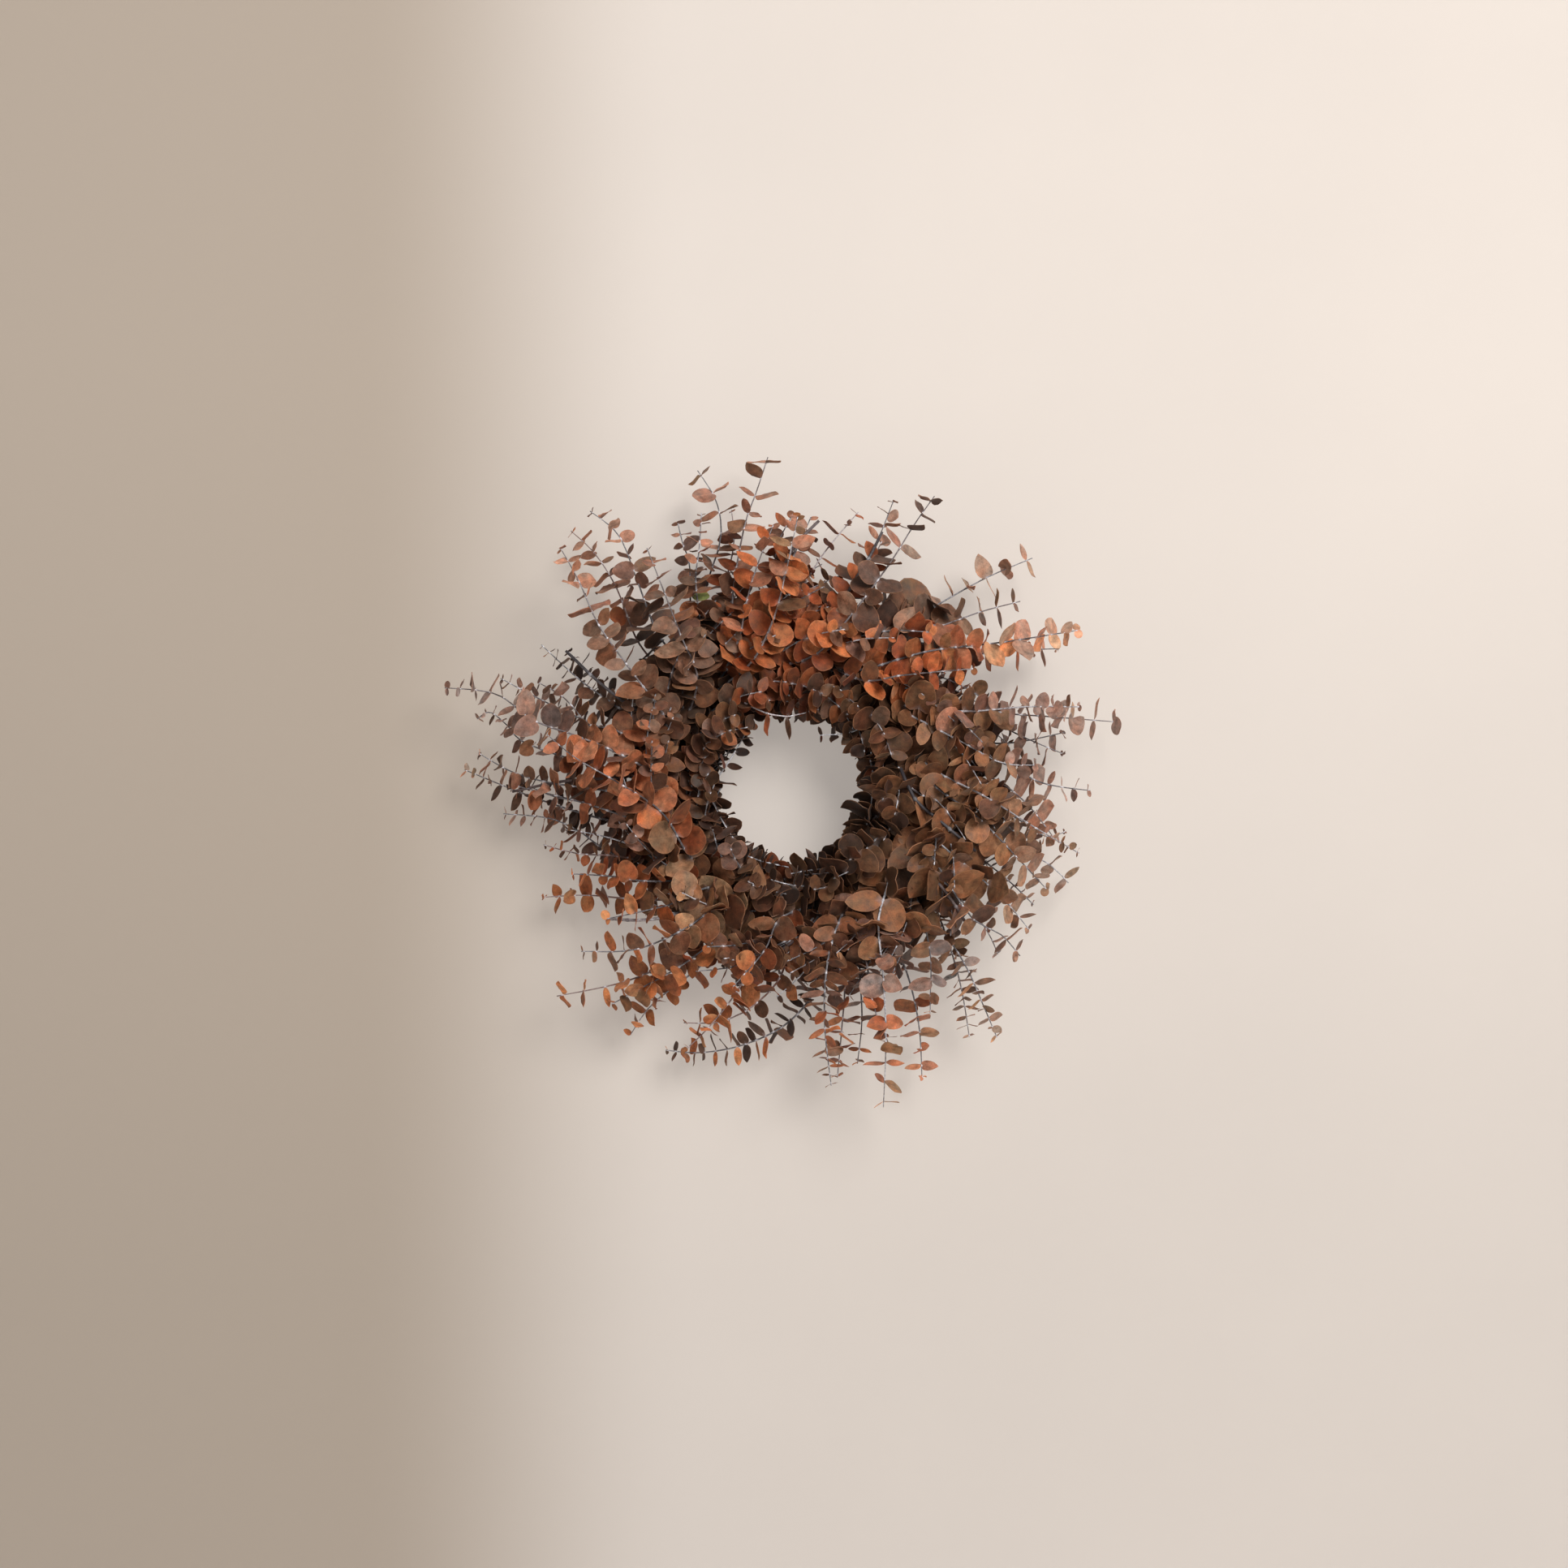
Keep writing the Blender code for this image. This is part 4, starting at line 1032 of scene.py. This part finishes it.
def fillerWay(clock, row, sweeps, reaches, lifts, rng):
    way = []
    for turn, away in zip((0, fillerRoot["turn"]), fillerRoot["away"]):
        tilt = rows[row] + rng.uniform(*fillerRoot["rowSpread"])
        way.append(roundTheVine(clock + turn, tilt, vine["outside"] + away))
    sweep = rng.uniform(*sweeps)
    reach = rng.uniform(*reaches) * denseReach(clock + sweep)
    lift = rng.uniform(*lifts)
    first = (way[1] - hole) / mm
    foot = math.hypot(first.x, first.z)
    for share in (0.35, 0.7, 1.0):
        turn = math.radians(clock + fillerRoot["turn"] + sweep * share)
        away = foot + (reach - foot) * share ** 0.9
        up = -first.y + (lift + first.y) * share ** 0.75
        way.append(at(away * math.sin(turn), away * math.cos(turn), up))
    return way


# thin twigs that stand into the hole: tone, style, length of the leaves, route
twigs = [
    ("umber", "mid", 0.016, [(-74, -20, 40), (-67, 4, 44), (-52, 26, 46), (-34, 57, 44)]),
    ("rust", "open", 0.021, [(-40, 76, 50), (-18, 66, 52), (4, 64, 50), (22, 70, 48)]),
    ("umber", "mid", 0.015, [(84, 66, 44), (62, 52, 46), (46, 48, 46), (28, 47, 44)]),
    ("brown", "rim", 0.019, [(-80, 2, 44), (-69, -12, 46), (-60, -30, 46), (-50, -46, 44)]),
    ("umber", "fine", 0.012, [(-66, -50, 44), (-46, -58, 46), (-26, -66, 46), (0, -72, 44)]),
    ("umber", "rim", 0.021, [(66, -62, 44), (44, -72, 50), (22, -74, 50), (0, -78, 48)]),
    ("umber", "rim", 0.020, [(72, 30, 44), (76, 8, 50), (74, -14, 50), (70, -34, 46)]),
]
twigHabit = {"root": 0.9, "gain": 0.0, "mayEnter": True, "bare": 0.012, "tipCover": 0.6}
moreHabit = {"bare": 0.05}
fillerHabit = {"root": 1.2}

bundles = {bunch: [] for bunch in range(wire["bunches"])}
for order, (bunch, row, tone, style, route) in enumerate(moreSprays):
    knots = boundEnd(bunch, row) + placesOf(route)
    habit = habitOf(row, style, **moreHabit)
    bundles[bunch].append(growSpray(f"more_{order:02d}", knots, tone, seeds["more"] + order, habit))
for number, (name, (count, row, style, *spans)) in enumerate(fillers.items(), 1):
    habit = habitOf(row, style, **fillerHabit)
    for order in range(count):
        rng = random.Random(seeds["fillerWays"] * number + order)
        clock = 360 * order / count + rng.uniform(*fillerRoot["clockSpread"])
        tone = rng.choice(fillerTones)
        knots = fillerWay(clock, row, *spans, rng)
        piece = growSpray(f"{name}_{order:02d}", knots, tone, seeds["fillers"] * number + order, habit)
        bundles[bunchAt(clock)].append(piece)
for order, (tone, style, length, route) in enumerate(twigs):
    habit = habitOf("rim", style, tipLeaf=length, **twigHabit)
    clock = math.degrees(math.atan2(route[0][0], route[0][1]))
    piece = growSpray(f"twig_{order}", placesOf(route), tone, seeds["twigs"] + order, habit)
    bundles[bunchAt(clock)].append(piece)
for bunch, members in bundles.items():
    dress(joinAll(members, f"filling_{bunch:02d}"))
print("with fillers, leaves:", grown["leaves"])

# thick stems that end in a bare cut: bunch, then the way from the ring outwards
cutStems = {"thick": 1.7, "end": 1.3, "nodes": (0.3, 0.7), "ways": [
    (11, [(-120, 60, 40), (-150, 78, 48), (-177, 100, 46), (-201, 123, 42)]),
    (13, [(-24, 150, 44), (-8, 190, 52), (5, 217, 50), (27, 240, 44)]),
    (0, [(40, 150, 44), (58, 184, 50), (73, 208, 48), (84, 230, 44)]),
    (8, [(-96, -112, 50), (-127, -119, 56), (-166, -118, 52)]),
    (2, [(100, 17, 62), (113, -11, 68), (135, -30, 70), (167, -57, 66)]),
    (9, [(-150, 8, 30), (-200, 6, 34), (-250, -4, 30)]),
    (3, [(120, -70, 60), (142, -96, 68), (160, -124, 66)]),
    (6, [(4, -138, 50), (-20, -156, 56), (-46, -176, 52)]),
]}
for order, (bunch, route) in enumerate(cutStems["ways"]):
    way = smoothWay(placesOf(route), spray["perSpan"])
    sums = lengthsAlong(way)
    nodesAt = [sums[-1] * share for share in cutStems["nodes"]]
    rng = random.Random(seeds["cutStems"] + order)
    piece = stemObject(f"cut_stems_{bunch:02d}", way, sums, nodesAt, "umber", rng,
                       cutStems["thick"], cutStems["end"])
    dress(piece)
print("cut stems placed")


# the wall's colour is painted in shade towards its left and its foot, as if it were lit from the right;
# places in metres
room = {"wallY": 0.0015, "wallMiddle": -0.1, "wallHalf": 1.6, "wallColour": (0.462, 0.421, 0.390, 1),
        "wallShader": {"Roughness": 0.9, "Specular IOR Level": 0.15, "Emission Strength": 0.68},
        "plaster": (3.0, 3.0), "plasterDim": 0.97,
        "shadeColour": (0.283, 0.240, 0.201, 1), "shade": (-0.08, -0.40),
        "downwards": (0.25, -0.60), "dimming": (1.03, 0.90),
        "floorZ": -1.25, "floorSize": 6,
        "floorShader": {"Base Color": (0.78, 0.75, 0.71, 1), "Roughness": 0.85}}


def wallMaterial():
    material, tree, shader = newMaterial("paintedWall", room["wallShader"])
    where = addNode(tree, "TexCoord").outputs["Object"]
    base = room["wallColour"]
    dim = room["plasterDim"]
    plaster = spots(where, *room["plaster"])
    colour = ramp(plaster, ((0.3, (base[0] * dim, base[1] * dim, base[2] * dim, 1)), (0.7, base)))
    place = addNode(tree, "SeparateXYZ", {0: where}).outputs
    # painted shade: darker towards the left, and darker towards the foot
    shade = mapped(place["X"], room["shade"], (0, 1), interpolation_type="SMOOTHSTEP")
    colour = mix("MIX", shade, colour, room["shadeColour"])
    colour = mix("MULTIPLY", 1.0, colour, mapped(place["Z"], room["downwards"], room["dimming"]))
    # the glow stands for light from the rest of the room
    for socket in ("Base Color", "Emission Color"):
        tree.links.new(colour, shader.inputs[socket])
    # seen from behind the wall lets the view through
    backfacing = addNode(tree, "NewGeometry").outputs["Backfacing"]
    clear = addNode(tree, "BsdfTransparent").outputs[0]
    mixed = addNode(tree, "MixShader", {0: backfacing, 1: shader.outputs[0], 2: clear})
    tree.links.new(mixed.outputs[0], tree.nodes["Material Output"].inputs["Surface"])
    return material


def addSheet(name, material, **placing):
    deselectAll()
    bpy.ops.mesh.primitive_plane_add(**placing)
    sheet = bpy.context.view_layer.objects.active
    sheet.name = name
    bpy.ops.object.transform_apply(location=True, rotation=True)
    sheet.data.materials.append(material)
    return sheet


wall = addSheet("wall", wallMaterial(), size=2 * room["wallHalf"],
                location=(0, room["wallY"], room["wallMiddle"]), rotation=(math.radians(90), 0, 0))
floor = addSheet("floor", newMaterial("paleFloor", room["floorShader"])[0], size=room["floorSize"],
                 location=(0, 0, room["floorZ"]))

# soft light from the upper right, a little from the left, and some for the back of the wreath:
# place and size in metres, watts, colour
lights = {
    "keyLight": ((1.8, -3.5, 1.9), 2.5, 182, (1.0, 0.975, 0.94)),
    "fillLight": ((-1.2, -3.4, 0.4), 2.4, 14, (1.0, 0.95, 0.90)),
    "backLight": ((-0.6, 1.9, 0.8), 1.6, 30, (1.0, 0.98, 0.95)),
}
lightAim = Vector((0, 0, -0.15))
sky = {"colour": (1.0, 0.94, 0.88, 1), "strength": 0.14}

for name, (place, size, watts, colour) in lights.items():
    data = bpy.data.lights.new(name, "AREA")
    data.shape = "DISK"
    data.size = size
    data.energy = watts
    data.color = colour
    lamp = addObject(name, data)
    lamp.location = place
    lamp.rotation_euler = (lightAim - Vector(place)).to_track_quat("-Z", "Y").to_euler()
world = bpy.data.worlds.new("studio")
bpy.context.scene.world = world
world.use_nodes = True
backdrop = world.node_tree.nodes["Background"]
backdrop.inputs[0].default_value = sky["colour"]
backdrop.inputs[1].default_value = sky["strength"]

# away and frameWidth are in metres, right and up in mm from the middle of the hole
view = {"away": 3.5, "frameWidth": 1.4297, "right": -4.4, "up": 3.0, "sensor": 36, "clipEnd": 20}
cameraData = bpy.data.cameras.new("camera")
cameraData.sensor_width = view["sensor"]
cameraData.lens = view["sensor"] * view["away"] / view["frameWidth"]
cameraData.clip_end = view["clipEnd"]
camera = addObject("camera", cameraData)
camera.location = at(view["right"], view["up"], view["away"] / mm)
camera.rotation_euler = (math.radians(90), 0, 0)
bpy.context.scene.camera = camera
bpy.context.scene.view_settings.view_transform = "Standard"
print("wall, floor, light and camera set")
